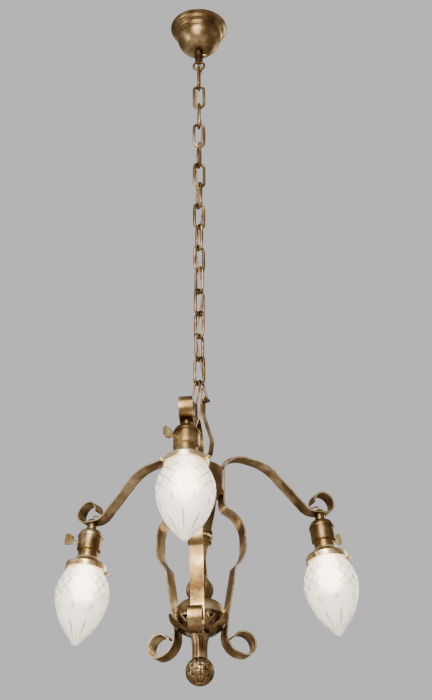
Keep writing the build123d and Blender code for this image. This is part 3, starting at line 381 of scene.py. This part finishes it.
@made_once
def cast_brass(tree):
    """The ball's lower half: shallow cast lobes about 7 mm across with dark patina between them."""
    tones = colours()
    tint = patina_tint(tree, tones.brass_dark, tones.brass_middle, tones.brass_light, 24)
    place = add_node(tree, "ShaderNodeTexCoord").outputs["Object"]
    lobes = add_node(
        tree, "ShaderNodeTexVoronoi", {"feature": "SMOOTH_F1"},
        {"Vector": place, "Scale": 1 / (7 * MM), "Smoothness": 0.5, "Randomness": 0.7},
    )
    between = add_node(
        tree, "ShaderNodeMapRange", {"interpolation_type": "SMOOTHSTEP"},
        {"Value": lobes.outputs["Distance"], "From Min": 0.35, "From Max": 0.65, "To Max": 0.7},
    )
    colour = add_node(
        tree, "ShaderNodeMix", {"data_type": "RGBA"},
        {"Factor": between.outputs["Result"], "A": tint, "B": colours().brass_hollow},
    )
    bump = add_node(
        tree, "ShaderNodeBump", {"invert": True},
        {"Height": lobes.outputs["Distance"], "Strength": 0.6, "Distance": 1.2 * MM},
    )
    return add_node(
        tree, "ShaderNodeBsdfPrincipled",
        inputs={
            "Base Color": colour.outputs["Result"],
            "Metallic": 1.0,
            "Specular Tint": BRASS_SHEEN,
            "Roughness": 0.32,
            "Normal": bump.outputs["Normal"],
        },
    )


@made_once
def painted_highlight_brass(tree):
    """Pale brass painted on as highlight: the straps' narrow sides and edges, the shade holders lit by the glowing
    shades, and small trim.
    """
    tint = patina_tint(tree, hex_linear("#94774A"), hex_linear("#CDB383"), hex_linear("#F0E2BE"), 18)
    return brass_shader(tree, tint, 0.22, 0.36, 3.0)


@made_once
def bright_brass(tree):
    """Keys and screws, pale gold and smooth, kept bright by fingers and tools; on the keys the brightness is
    partly a painted highlight.
    """
    tint = patina_tint(tree, hex_linear("#A8864F"), hex_linear("#D2B478"), hex_linear("#F0DEB0"), 9)
    return brass_shader(tree, tint, 0.16, 0.28, 2.0)


@made_once
def zinc_steel(tree):
    """Zinc-plated steel of the hidden ceiling hardware, with dull spangles about 4 mm across."""
    place = add_node(tree, "ShaderNodeTexCoord").outputs["Object"]
    spangle = add_node(tree, "ShaderNodeTexVoronoi", inputs={"Vector": place, "Scale": 1 / (4 * MM)})
    tint = add_node(
        tree, "ShaderNodeMix", {"data_type": "RGBA"},
        {"Factor": spangle.outputs["Distance"], "A": hex_linear("#B9BABA"), "B": hex_linear("#8C8E90")},
    )
    return add_node(
        tree, "ShaderNodeBsdfPrincipled",
        inputs={"Base Color": tint.outputs["Result"], "Metallic": 1.0, "Roughness": 0.42},
    )


@made_once
def cotton_braid(tree):
    """Braided cotton cover: two sets of slanting threads, drawn 4 mm apart so that they show."""
    place = add_node(tree, "ShaderNodeTexCoord").outputs["Object"]
    threads = []
    # The wave texture runs through 20 radians to the unit
    bands = 2 * math.pi / (20 * 4 * MM)
    for lean in (45, -45):
        slant = math.radians(lean)
        slanted = add_node(
            tree, "ShaderNodeMapping", inputs={"Vector": place, "Rotation": (slant, slant, 0)}
        )
        threads.append(
            add_node(
                tree, "ShaderNodeTexWave", {"bands_direction": "Z"},
                {"Vector": slanted.outputs["Vector"], "Scale": bands, "Distortion": 0.6},
            )
        )
    weave = add_node(
        tree, "ShaderNodeMath", {"operation": "MAXIMUM"},
        {0: threads[0].outputs["Fac"], 1: threads[1].outputs["Fac"]},
    )
    tint = add_node(
        tree, "ShaderNodeMix", {"data_type": "RGBA"},
        {"Factor": weave.outputs["Value"], "A": hex_linear("#4A3216"), "B": colours().cord},
    )
    bump = add_node(
        tree, "ShaderNodeBump",
        inputs={"Height": weave.outputs["Value"], "Strength": 0.5, "Distance": 0.3 * MM},
    )
    return add_node(
        tree, "ShaderNodeBsdfPrincipled",
        inputs={
            "Base Color": tint.outputs["Result"],
            "Roughness": 0.75,
            "Sheen Weight": 0.3,
            "Normal": bump.outputs["Normal"],
        },
    )


@made_once
def frosted_glass(tree):
    """Blown glass, frosted with acid: milky and even, with clear grey wheel cuts, and a painted glow of its own
    for the lamp's light coming through.
    """
    place = add_node(tree, "ShaderNodeTexCoord").outputs["Object"]
    frost = add_node(
        tree, "ShaderNodeTexNoise", inputs={"Vector": place, "Scale": 1 / (12 * MM), "Detail": 3.0}
    )
    milk = add_node(
        tree, "ShaderNodeMix", {"data_type": "RGBA"},
        {"Factor": frost.outputs["Fac"], "A": colours().glass, "B": hex_linear("#F8F6F1")},
    )
    hollow = add_node(tree, "ShaderNodeAttribute", {"attribute_name": "hollow"})
    tint = add_node(
        tree, "ShaderNodeMix", {"data_type": "RGBA"},
        {"Factor": hollow.outputs["Fac"], "A": milk.outputs["Result"], "B": colours().glass_cut},
    )
    rough = add_node(
        tree, "ShaderNodeMapRange", inputs={"Value": hollow.outputs["Fac"], "To Min": 0.34, "To Max": 0.14}
    )
    # The painted glow stands in for the light that the frosting scatters, and the cuts hold it back
    glow = add_node(
        tree, "ShaderNodeMapRange", inputs={"Value": hollow.outputs["Fac"], "To Min": 0.3, "To Max": 0.02}
    )
    return add_node(
        tree, "ShaderNodeBsdfPrincipled",
        inputs={
            "Base Color": tint.outputs["Result"],
            "Roughness": rough.outputs["Result"],
            "IOR": 1.5,
            "Transmission Weight": 0.65,
            "Emission Color": colours().glow,
            "Emission Strength": glow.outputs["Result"],
        },
    )


@made_once
def lamp_glass(tree):
    """The lamp's own frosted bulb, alight, with a soft unevenness 15 mm wide."""
    place = add_node(tree, "ShaderNodeTexCoord").outputs["Object"]
    drift = add_node(tree, "ShaderNodeTexNoise", inputs={"Vector": place, "Scale": 1 / (15 * MM)})
    strength = add_node(
        tree, "ShaderNodeMapRange",
        inputs={
            "Value": drift.outputs["Fac"],
            "To Min": 0.8 * sizes().glow_strength,
            "To Max": 1.2 * sizes().glow_strength,
        },
    )
    return add_node(
        tree, "ShaderNodeBsdfPrincipled",
        inputs={
            "Base Color": colours().glow,
            "Roughness": 0.3,
            "Emission Color": colours().glow,
            "Emission Strength": strength.outputs["Result"],
        },
    )


@made_once
def drawn_brass(tree):
    """Thin drawn brass of the lamps' bases, plain and clean, with a fine mottle of 1.5 mm."""
    tint = patina_tint(tree, hex_linear("#A5824A"), hex_linear("#B99A5E"), hex_linear("#D2B679"), 12)
    return brass_shader(tree, tint, 0.22, 0.32, 1.5)


@made_once
def moulded_core(tree):
    """Dark moulded insulation inside the sockets, dull with a fine grain of 1 mm."""
    place = add_node(tree, "ShaderNodeTexCoord").outputs["Object"]
    grain = add_node(tree, "ShaderNodeTexNoise", inputs={"Vector": place, "Scale": 1 / MM, "Detail": 3.0})
    tint = add_node(
        tree, "ShaderNodeMix", {"data_type": "RGBA"},
        {"Factor": grain.outputs["Fac"], "A": hex_linear("#1E1814"), "B": hex_linear("#3A302A")},
    )
    return add_node(
        tree, "ShaderNodeBsdfPrincipled", inputs={"Base Color": tint.outputs["Result"], "Roughness": 0.6}
    )


@made_once
def studio_floor(tree):
    """Pale matt floor with a soft unevenness 300 mm wide."""
    place = add_node(tree, "ShaderNodeTexCoord").outputs["Object"]
    drift = add_node(tree, "ShaderNodeTexNoise", inputs={"Vector": place, "Scale": 1 / (300 * MM)})
    tint = add_node(
        tree, "ShaderNodeMix", {"data_type": "RGBA"},
        {"Factor": drift.outputs["Fac"], "A": hex_linear("#D6D3D2"), "B": hex_linear("#DEDBDA")},
    )
    return add_node(
        tree, "ShaderNodeBsdfPrincipled", inputs={"Base Color": tint.outputs["Result"], "Roughness": 0.8}
    )


FINISHES = {
    "aged_brass": aged_brass,
    "bright_brass": bright_brass,
    "steel": zinc_steel,
    "cord_braid": cotton_braid,
    "frosted_glass": frosted_glass,
    "lamp_glass": lamp_glass,
    "lamp_base": drawn_brass,
    "socket_core": moulded_core,
}


def turned(degrees, axis="Z"):
    """A turn about one of the frame's axes."""
    return Matrix.Rotation(math.radians(degrees), 4, axis)


def coat(node, *materials):
    """Gives a CAD node its materials, and welds it so that it shades smoothly."""
    node.data.materials.clear()
    for material in materials:
        node.data.materials.append(material)
    node.data.shade_smooth()
    node.modifiers.new("weld", "WELD").merge_threshold = WELD_REACH


def dress(names, finish=None):
    """Gives CAD nodes a finish, or their slot's own, with creases kept sharp."""
    for name in names:
        node = NODES[name]
        coat(node, (finish or FINISHES[SLOTS[name]])())
        node.modifiers.new("creases", "EDGE_SPLIT").split_angle = math.radians(CREASE_ANGLE)


def dress_strap(name, azimuth):
    """A strap keeps rounded edges, and its two narrow sides and rounded edges get pale brass as a painted
    highlight.
    """
    node = NODES[name]
    # The second material is pale brass, the painted highlight on the narrow sides and edges
    coat(node, aged_brass(), painted_highlight_brass())
    across = turned(azimuth + 90) @ Vector((1, 0, 0))
    # Faces that look sideways take the painted highlight
    for face in node.data.polygons:
        face.material_index = int(abs(face.normal.dot(across)) > SIDE_FACING)
    bevel = node.modifiers.new("edges", "BEVEL")
    bevel.width = sizes().edge_round
    bevel.segments = 2
    bevel.limit_method = "ANGLE"
    bevel.angle_limit = math.radians(BEVEL_ANGLE)
    # The rounded edges take the painted highlight as well
    bevel.material = 1
    node.modifiers.new("shading", "WEIGHTED_NORMAL").keep_sharp = True


def along_bends(*bends):
    """Points along joined bends, each given by its start, two handles, end and number of points."""
    points = [bends[0][0]]
    for *corners, count in bends:
        curve = interpolate_bezier(*[Vector(corner).to_3d() for corner in corners], count)
        points += [(point.x, point.y) for point in curve[1:]]
    return points


def lathe(outline, steps):
    """Spins an outline of (radius, height) points in mm about Z and closes its poles."""
    mesh = bmesh.new()
    ring = [mesh.verts.new((radius * MM, 0, height * MM)) for radius, height in outline]
    edges = [mesh.edges.new(pair) for pair in zip(ring, ring[1:])]
    bmesh.ops.spin(
        mesh, geom=ring + edges, axis=(0, 0, 1), cent=(0, 0, 0),
        angle=2 * math.pi, steps=steps, use_merge=True,
    )
    bmesh.ops.remove_doubles(mesh, verts=mesh.verts, dist=WELD_REACH)
    bmesh.ops.recalc_face_normals(mesh, faces=mesh.faces)
    mesh.normal_update()
    return mesh


def carve(mesh, relief, depth):
    """Sinks the outside by a pattern from 0, proud, to 1, deepest, and marks how deep it lies."""
    hollow = mesh.verts.layers.float.new("hollow")
    moves = []
    for vert in mesh.verts:
        if vert.normal.xy.dot(vert.co.xy) > 0:
            vert[hollow] = relief(math.atan2(vert.co.y, vert.co.x), -vert.co.z / MM)
            moves.append((vert, vert.normal * depth * vert[hollow]))
    for vert, move in moves:
        vert.co -= move


def finish_piece(mesh, name, material, nodes=(), place=None):
    """Places a mesh, gives it its finish and lets it ride with the fixture."""
    if place is not None:
        bmesh.ops.transform(mesh, matrix=place, verts=mesh.verts)
    data = bpy.data.meshes.new(name)
    mesh.to_mesh(data)
    mesh.free()
    data.materials.append(material)
    data.shade_smooth()
    piece = bpy.data.objects.new(name, data)
    bpy.context.scene.collection.objects.link(piece)
    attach(piece, "fixture")
    if nodes:
        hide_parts(*nodes)


def socket_place(arm):
    """Where a socket's axis meets its strap, with Z up along the axis."""
    slides = [Vector(JOINTS[f"screw_{arm}_{n}_slide"]["axis"]) for n in (1, 2)]
    up = slides[0].cross(slides[1]).normalized()
    if up.z < 0:
        up.negate()
    seat = Vector(JOINTS[f"key_{arm}_turn"]["pos_m"]) + up * KEY_DROP * MM
    outward = turned(ARMS[arm]) @ Vector((1, 0, 0))
    side = up.cross(outward).normalized()
    turn = Matrix((side.cross(up), side, up)).transposed()
    return Matrix.Translation(seat) @ turn.to_4x4()


def smooth(value, start, end):
    """Runs from 0 at start to 1 at end, with soft ends."""
    share = min(max((value - start) / (end - start), 0), 1)
    return share * share * (3 - 2 * share)


class CHANDELIER_OT_mount(bpy.types.Operator):
    """Finish the canopy, its hidden hardware and its loop"""

    bl_idname = "chandelier.mount"
    bl_label = "Ceiling mount"

    def execute(self, context):
        dress([
            "ceiling_crossbar", "canopy_nipple", "nipple_locknut", "canopy",
            "canopy_collar", "collar_set_screw", "canopy_loop",
        ])
        return {"FINISHED"}


class CHANDELIER_OT_chain(bpy.types.Operator):
    """Finish the chain's links"""

    bl_idname = "chandelier.chain"
    bl_label = "Chain"

    def execute(self, context):
        dress(["chain_link_first", "chain_links", "chain_link_last", "hanger_links"])
        return {"FINISHED"}


class CHANDELIER_OT_cords(bpy.types.Operator):
    """Finish the supply cord in the chain and the wires along the arms"""

    bl_idname = "chandelier.cords"
    bl_label = "Cords"

    def execute(self, context):
        dress(["supply_cord_first", "supply_cord", "supply_cord_last", "crown_cord", "arm_wires"])
        return {"FINISHED"}


class CHANDELIER_OT_crown(bpy.types.Operator):
    """Finish the yoke, the nut and the hub"""

    bl_idname = "chandelier.crown"
    bl_label = "Crown and hub"

    def execute(self, context):
        dress(["crown_yoke", "crown_nut", "hub", "hub_screws", "stem_tube"])
        return {"FINISHED"}


def from_line(turn, count):
    """How far a turn is from the nearest of so many upright lines, 0 on a line and 0.5 between two."""
    phase = turn / (2 * math.pi) * count
    return abs(phase - round(phase))


def urn_ribs(turn, fall):
    """Rounded ribs that die out at the lip and the foot."""
    grooves = smooth(from_line(turn, URN_RIBS), 0.3, 0.5)
    return grooves * smooth(fall, *URN_RIBS_START) * smooth(fall, *URN_RIBS_END)


def finial_leaves(turn, fall):
    """Leaf lobes down the neck, then rows of staggered leaves over the ball."""
    lobes = 0.6 * smooth(from_line(turn, NECK_LOBES), 0.32, 0.5)
    lobes *= smooth(fall, *NECK_LOBES_START) * smooth(fall, *NECK_LOBES_END)
    if fall < LEAF_ROWS_TOP or fall > LEAF_ROWS_END:
        return lobes
    row = (fall - LEAF_ROWS_TOP) / LEAF_ROW_HEIGHT
    across = 2 * from_line(turn + (int(row) % 2) * math.pi / LEAVES_PER_ROW, LEAVES_PER_ROW)
    along = 2 * (row - int(row)) - 1
    edge = 0.75 * smooth(across / (1.12 - 0.5 * along * along - 0.3 * along), 0.55, 1.0)
    vein = 0.45 * smooth(across, 0.16, 0.05)
    return max(lobes, edge, vein)


class CHANDELIER_OT_stem(bpy.types.Operator):
    """Finish the turned column and ball, rib the urn and cast the finial"""

    bl_idname = "chandelier.stem"
    bl_label = "Stem"

    def execute(self, context):
        dress(["stem_column", "ball_upper"])
        dress(["ball_lower"], cast_brass)
        self.urn()
        self.finial()
        self.band_beads()
        self.leaf_tips()
        self.window_frames()
        return {"FINISHED"}

    def place(self, node):
        """The stem's axis at the top of a CAD node."""
        return Matrix.Translation((0, 0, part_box(node)[1].z))

    def urn(self):
        """The urn, spun from its outline and ribbed."""
        outline = [(URN_BORE_R, 0.0), *along_bends(*URN_BENDS), (URN_BORE_R, -URN_HEIGHT)]
        mesh = lathe(outline, URN_STEPS)
        carve(mesh, urn_ribs, sizes().relief_depth)
        finish_piece(mesh, "ribbed_urn", aged_brass(), ["stem_urn"], self.place("stem_urn"))

    def finial(self):
        """The finial, spun from its outline and cast with leaves."""
        outline = FINIAL_COLLAR + along_bends(FINIAL_NECK_BEND)
        outline += [(FINIAL_NECK_R, height) for height in FINIAL_NECK_HEIGHTS]
        start = math.asin(FINIAL_NECK_R / FINIAL_BALL_R)
        for n in range(FINIAL_BALL_STEPS + 1):
            turn = start + (math.pi - start) * n / FINIAL_BALL_STEPS
            height = FINIAL_BALL_HEIGHT + FINIAL_BALL_R * math.cos(turn)
            outline.append((FINIAL_BALL_R * math.sin(turn), height))
        mesh = lathe(outline, FINIAL_STEPS)
        carve(mesh, finial_leaves, sizes().relief_depth)
        finish_piece(mesh, "cast_finial", aged_brass(), ["finial"], self.place("finial"))

    def band_beads(self):
        """A string of beads on the band between the column's two rings."""
        mesh = bmesh.new()
        radius, height = BEAD_SEAT
        for n in range(BEAD_COUNT):
            seat = turned(360 * n / BEAD_COUNT) @ Matrix.Translation((radius * MM, 0, height * MM))
            bmesh.ops.create_icosphere(mesh, subdivisions=3, radius=BEAD_R * MM, matrix=seat)
        # Pale brass paints the beads' highlights
        finish_piece(mesh, "band_beads", painted_highlight_brass(), place=self.place("stem_column"))

    def leaf_tips(self):
        """Three leaves that flare from the ball between the straps, each curled over at its tip."""
        reach = sizes().leaf_reach / MM
        curve = along_bends(
            ((32.6, -17.0), (38.0, -15.0), (reach - 3.0, -11.0), (reach - 1.6, -4.0), 10),
            ((reach - 1.6, -4.0), (reach - 1.2, -2.2), (reach, -2.0), (reach, -4.0), 4),
        )
        last = len(curve) - 1
        for number, azimuth in enumerate(LEAF_TURNS, 1):
            mesh = bmesh.new()
            bmesh.ops.create_grid(mesh, x_segments=last, y_segments=8, size=1)
            for vert in mesh.verts:
                along = (vert.co.x + 1) / 2
                radius, height = curve[min(round(along * last), last)]
                width = LEAF_WIDTH * (1 - along**3) + LEAF_TIP_WIDTH
                dish = LEAF_DISH * vert.co.y**2 * (1 - along)
                vert.co = Vector((radius - dish, vert.co.y * width, height)) * MM
            bmesh.ops.solidify(mesh, geom=mesh.faces, thickness=LEAF_THICKNESS * MM)
            bmesh.ops.recalc_face_normals(mesh, faces=mesh.faces)
            place = self.place("ball_lower") @ turned(azimuth)
            finish_piece(mesh, f"leaf_tip_{number}", aged_brass(), place=place)

    def window_frames(self):
        """A raised frame round each of the ball's pierced triangles, with its point down."""
        mesh = bmesh.new()
        for n in range(WINDOW_COUNT):
            corners = bmesh.ops.create_circle(
                mesh, cap_ends=True, radius=WINDOW_FRAME_R * MM, segments=3
            )["verts"]
            face = corners[0].link_faces[0]
            bmesh.ops.inset_individual(mesh, faces=[face], thickness=WINDOW_FRAME_WIDTH * MM)
            rim = list(dict.fromkeys(other for vert in corners for other in vert.link_faces))
            bmesh.ops.delete(mesh, geom=[face], context="FACES_ONLY")
            raised = bmesh.ops.extrude_face_region(mesh, geom=rim)["geom"]
            lifted = [item for item in raised if isinstance(item, bmesh.types.BMVert)]
            bmesh.ops.translate(mesh, vec=(0, 0, WINDOW_FRAME_HEIGHT * MM), verts=lifted)
            ring = list(dict.fromkeys([vert for other in rim for vert in other.verts] + lifted))
            seat = Matrix.Translation((WINDOW_SEAT_R * MM, 0, -WINDOW_FALL * MM))
            lean = turned(90 + WINDOW_LEAN, "Y") @ turned(-90)
            stand = turned(WINDOW_TURN + 360 * n / WINDOW_COUNT) @ seat @ lean
            bmesh.ops.transform(mesh, matrix=stand, verts=ring)
        bmesh.ops.recalc_face_normals(mesh, faces=mesh.faces)
        # Pale brass paints the frames' highlights
        finish_piece(mesh, "window_frames", painted_highlight_brass(), place=self.place("ball_lower"))


class CHANDELIER_OT_arms(bpy.types.Operator):
    """Finish the bent straps"""

    bl_idname = "chandelier.arms"
    bl_label = "Arm straps"

    def execute(self, context):
        for arm, azimuth in ARMS.items():
            dress_strap(f"arm_strap_{arm}", azimuth)
        return {"FINISHED"}


class CHANDELIER_OT_sockets(bpy.types.Operator):
    """Finish the sockets, keys, shade holders and thumb screws"""

    bl_idname = "chandelier.sockets"
    bl_label = "Sockets"

    def execute(self, context):
        dress(["socket_nipples", "socket_nuts", "socket_cores"])
        for arm in ARMS:
            dress([f"socket_cap_{arm}", f"socket_shell_{arm}"])
            dress([f"shade_screw_{arm}_{n}" for n in (1, 2, 3)])
            # The keys get bright brass, partly for finger wear and partly as a painted highlight, and the holders
            # get pale brass as painted light from the glowing shades
            dress([f"socket_key_{arm}"], bright_brass)
            dress([f"shade_holder_{arm}"], painted_highlight_brass)
        return {"FINISHED"}


class CHANDELIER_OT_lamps(bpy.types.Operator):
    """Light the lamps inside the shades"""

    bl_idname = "chandelier.lamps"
    bl_label = "Lamps"

    def execute(self, context):
        dress(["lamp_bases", "lamp_bulbs"])
        return {"FINISHED"}


def wheel_cuts(turn, fall):
    """Crossed cuts below the shoulder, a row of olives round the middle and a star at the tip."""
    share = turn / (2 * math.pi)
    band = smooth(fall, *CROSS_BAND_TOP) * smooth(fall, *CROSS_BAND_FOOT)
    slant = fall / CROSS_CUT_RISE * 2 * math.pi / CROSS_CUTS
    crossed = min(from_line(turn + slant, CROSS_CUTS), from_line(turn - slant, CROSS_CUTS))
    deepest = band * smooth(crossed, 0.12, 0.04)
    phase = share * OLIVES + 0.5
    side = (phase - round(phase)) * OLIVE_PITCH
    away = math.hypot(side / OLIVE_HALF_WIDTH, (fall - OLIVE_FALL) / OLIVE_HALF_LENGTH)
    deepest = max(deepest, 0.7 * smooth(away, 1.1, 0.6))
    start = SHORT_POINT_TOP if round(share * STAR_POINTS) % 2 else LONG_POINT_TOP
    wide = 0.22 * smooth(fall, start, start + STAR_TAPER) * smooth(fall, *STAR_FOOT)
    if wide > 0.02:
        deepest = max(deepest, smooth(from_line(turn, STAR_POINTS), wide, 0.3 * wide))
    return deepest


class CHANDELIER_OT_shades(bpy.types.Operator):
    """Blow and cut the three glass shades"""

    bl_idname = "chandelier.shades"
    bl_label = "Glass shades"

    def execute(self, context):
        for arm in ARMS:
            self.shade(arm)
        return {"FINISHED"}

    def shade(self, arm):
        """One shade, spun from the inside of its tip up over its rim and down to its tip again."""
        wall = sizes().glass_wall / MM
        neck = SHADE_NECK_R - wall
        belly = SHADE_BELLY_R - wall
        inner = along_bends(
            ((neck, -76.0), (30.6 - wall, -82.0), (belly, -97.0), (belly, -112.0), 16),
            ((belly, -112.0), (belly, -130.0), (28.0, -154.5), (18.6, -166.0), 20),
            ((18.6, -166.0), (13.0, -173.0), (5.0, -186.4), (0.0, -187.0), 12),
        )
        rim = [(neck, -68.0), (neck + 0.5, -67.5)]
        outline = [*reversed(inner), *rim, *SHADE_LIP, *along_bends(*SHADE_BENDS)]
        mesh = lathe(outline, SHADE_STEPS)
        carve(mesh, wheel_cuts, sizes().cut_depth)
        nodes = [f"glass_shade_{arm}"]
        finish_piece(mesh, f"cut_glass_{arm}", frosted_glass(), nodes, socket_place(arm))


class CHANDELIER_OT_stage(bpy.types.Operator):
    """Set the pale floor, the soft lights and the camera"""

    bl_idname = "chandelier.stage"
    bl_label = "Stage"

    def execute(self, context):
        stand = turned(CAMERA_AZIMUTH)
        self.world(context)
        self.floor(context)
        fixture = Vector((0, 0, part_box("hub")[0].z))
        for name, spot, *shape in SOFTBOXES:
            self.softbox(context, name, stand @ Vector(spot), fixture, *shape)
        spill = Vector((0, -SPILL_AWAY, fixture.z - SPILL_DROP))
        stem = Vector((0, 0, spill.z - SPILL_LOOK_DOWN))
        self.softbox(context, "lamp_spill", spill, stem, SPILL_WIDTH, SPILL_HEIGHT, SPILL_WATTS)
        self.camera(context, stand)
        return {"FINISHED"}

    def world(self, context):
        """An even pale surround."""
        world = bpy.data.worlds.new("studio")
        context.scene.world = world
        world.use_nodes = True
        background = world.node_tree.nodes["Background"]
        background.inputs["Color"].default_value = colours().backdrop
        background.inputs["Strength"].default_value = WORLD_STRENGTH

    def floor(self, context):
        """A pale floor well below the fixture."""
        mesh = bmesh.new()
        bmesh.ops.create_grid(mesh, x_segments=1, y_segments=1, size=FLOOR_SIZE)
        bmesh.ops.translate(mesh, vec=(0, 0, CAD_BOX[0].z - FLOOR_DROP), verts=mesh.verts)
        data = bpy.data.meshes.new("floor")
        mesh.to_mesh(data)
        mesh.free()
        data.materials.append(studio_floor())
        floor = bpy.data.objects.new("floor", data)
        context.scene.collection.objects.link(floor)

    def softbox(self, context, name, spot, target, width, height, watts):
        """A rectangular soft light that faces its target and stays out of the picture."""
        data = bpy.data.lights.new(name, "AREA")
        data.shape = "RECTANGLE"
        data.size = width
        data.size_y = height
        data.energy = watts
        light = bpy.data.objects.new(name, data)
        context.scene.collection.objects.link(light)
        light.location = spot
        light.rotation_euler = (target - spot).to_track_quat("-Z", "Y").to_euler()
        light.visible_camera = False

    def camera(self, context, stand):
        """The camera that was fitted to the photograph."""
        data = bpy.data.cameras.new("photo_camera")
        data.sensor_width = SENSOR_MM
        data.lens = SENSOR_MM * LENS_PIXELS / IMAGE_HEIGHT
        data.clip_end = VIEW_END
        camera = bpy.data.objects.new("photo_camera", data)
        context.scene.collection.objects.link(camera)
        aim = turned(-CAMERA_YAW) @ turned(90 + CAMERA_PITCH, "X") @ turned(-CAMERA_ROLL)
        camera.matrix_world = stand @ Matrix.Translation((0, -CAMERA_AWAY, CAMERA_HEIGHT)) @ aim
        context.scene.camera = camera


OPERATORS = (
    CHANDELIER_OT_mount,
    CHANDELIER_OT_chain,
    CHANDELIER_OT_cords,
    CHANDELIER_OT_crown,
    CHANDELIER_OT_stem,
    CHANDELIER_OT_arms,
    CHANDELIER_OT_sockets,
    CHANDELIER_OT_lamps,
    CHANDELIER_OT_shades,
    CHANDELIER_OT_stage,
)


class CHANDELIER_PT_panel(bpy.types.Panel):
    """Chandelier pieces, sizes and colours"""

    bl_label = "Chandelier"
    bl_space_type = "VIEW_3D"
    bl_region_type = "UI"
    bl_category = "Chandelier"

    def draw(self, context):
        for operator in OPERATORS:
            self.layout.operator(operator.bl_idname)
        for group in (context.scene.chandelier_sizes, context.scene.chandelier_colours):
            for name in group.__annotations__:
                self.layout.prop(group, name)


CLASSES = (ChandelierSizes, ChandelierColours, *OPERATORS, CHANDELIER_PT_panel)


def register():
    for item in CLASSES:
        bpy.utils.register_class(item)
    bpy.types.Scene.chandelier_sizes = bpy.props.PointerProperty(type=ChandelierSizes)
    bpy.types.Scene.chandelier_colours = bpy.props.PointerProperty(type=ChandelierColours)


def unregister():
    del bpy.types.Scene.chandelier_colours
    del bpy.types.Scene.chandelier_sizes
    for item in reversed(CLASSES):
        bpy.utils.unregister_class(item)


def main():
    register()
    bpy.ops.chandelier.mount()
    bpy.ops.chandelier.chain()
    bpy.ops.chandelier.cords()
    bpy.ops.chandelier.crown()
    bpy.ops.chandelier.stem()
    bpy.ops.chandelier.arms()
    bpy.ops.chandelier.sockets()
    bpy.ops.chandelier.lamps()
    bpy.ops.chandelier.shades()
    bpy.ops.chandelier.stage()


if __name__ == "__main__":
    main()
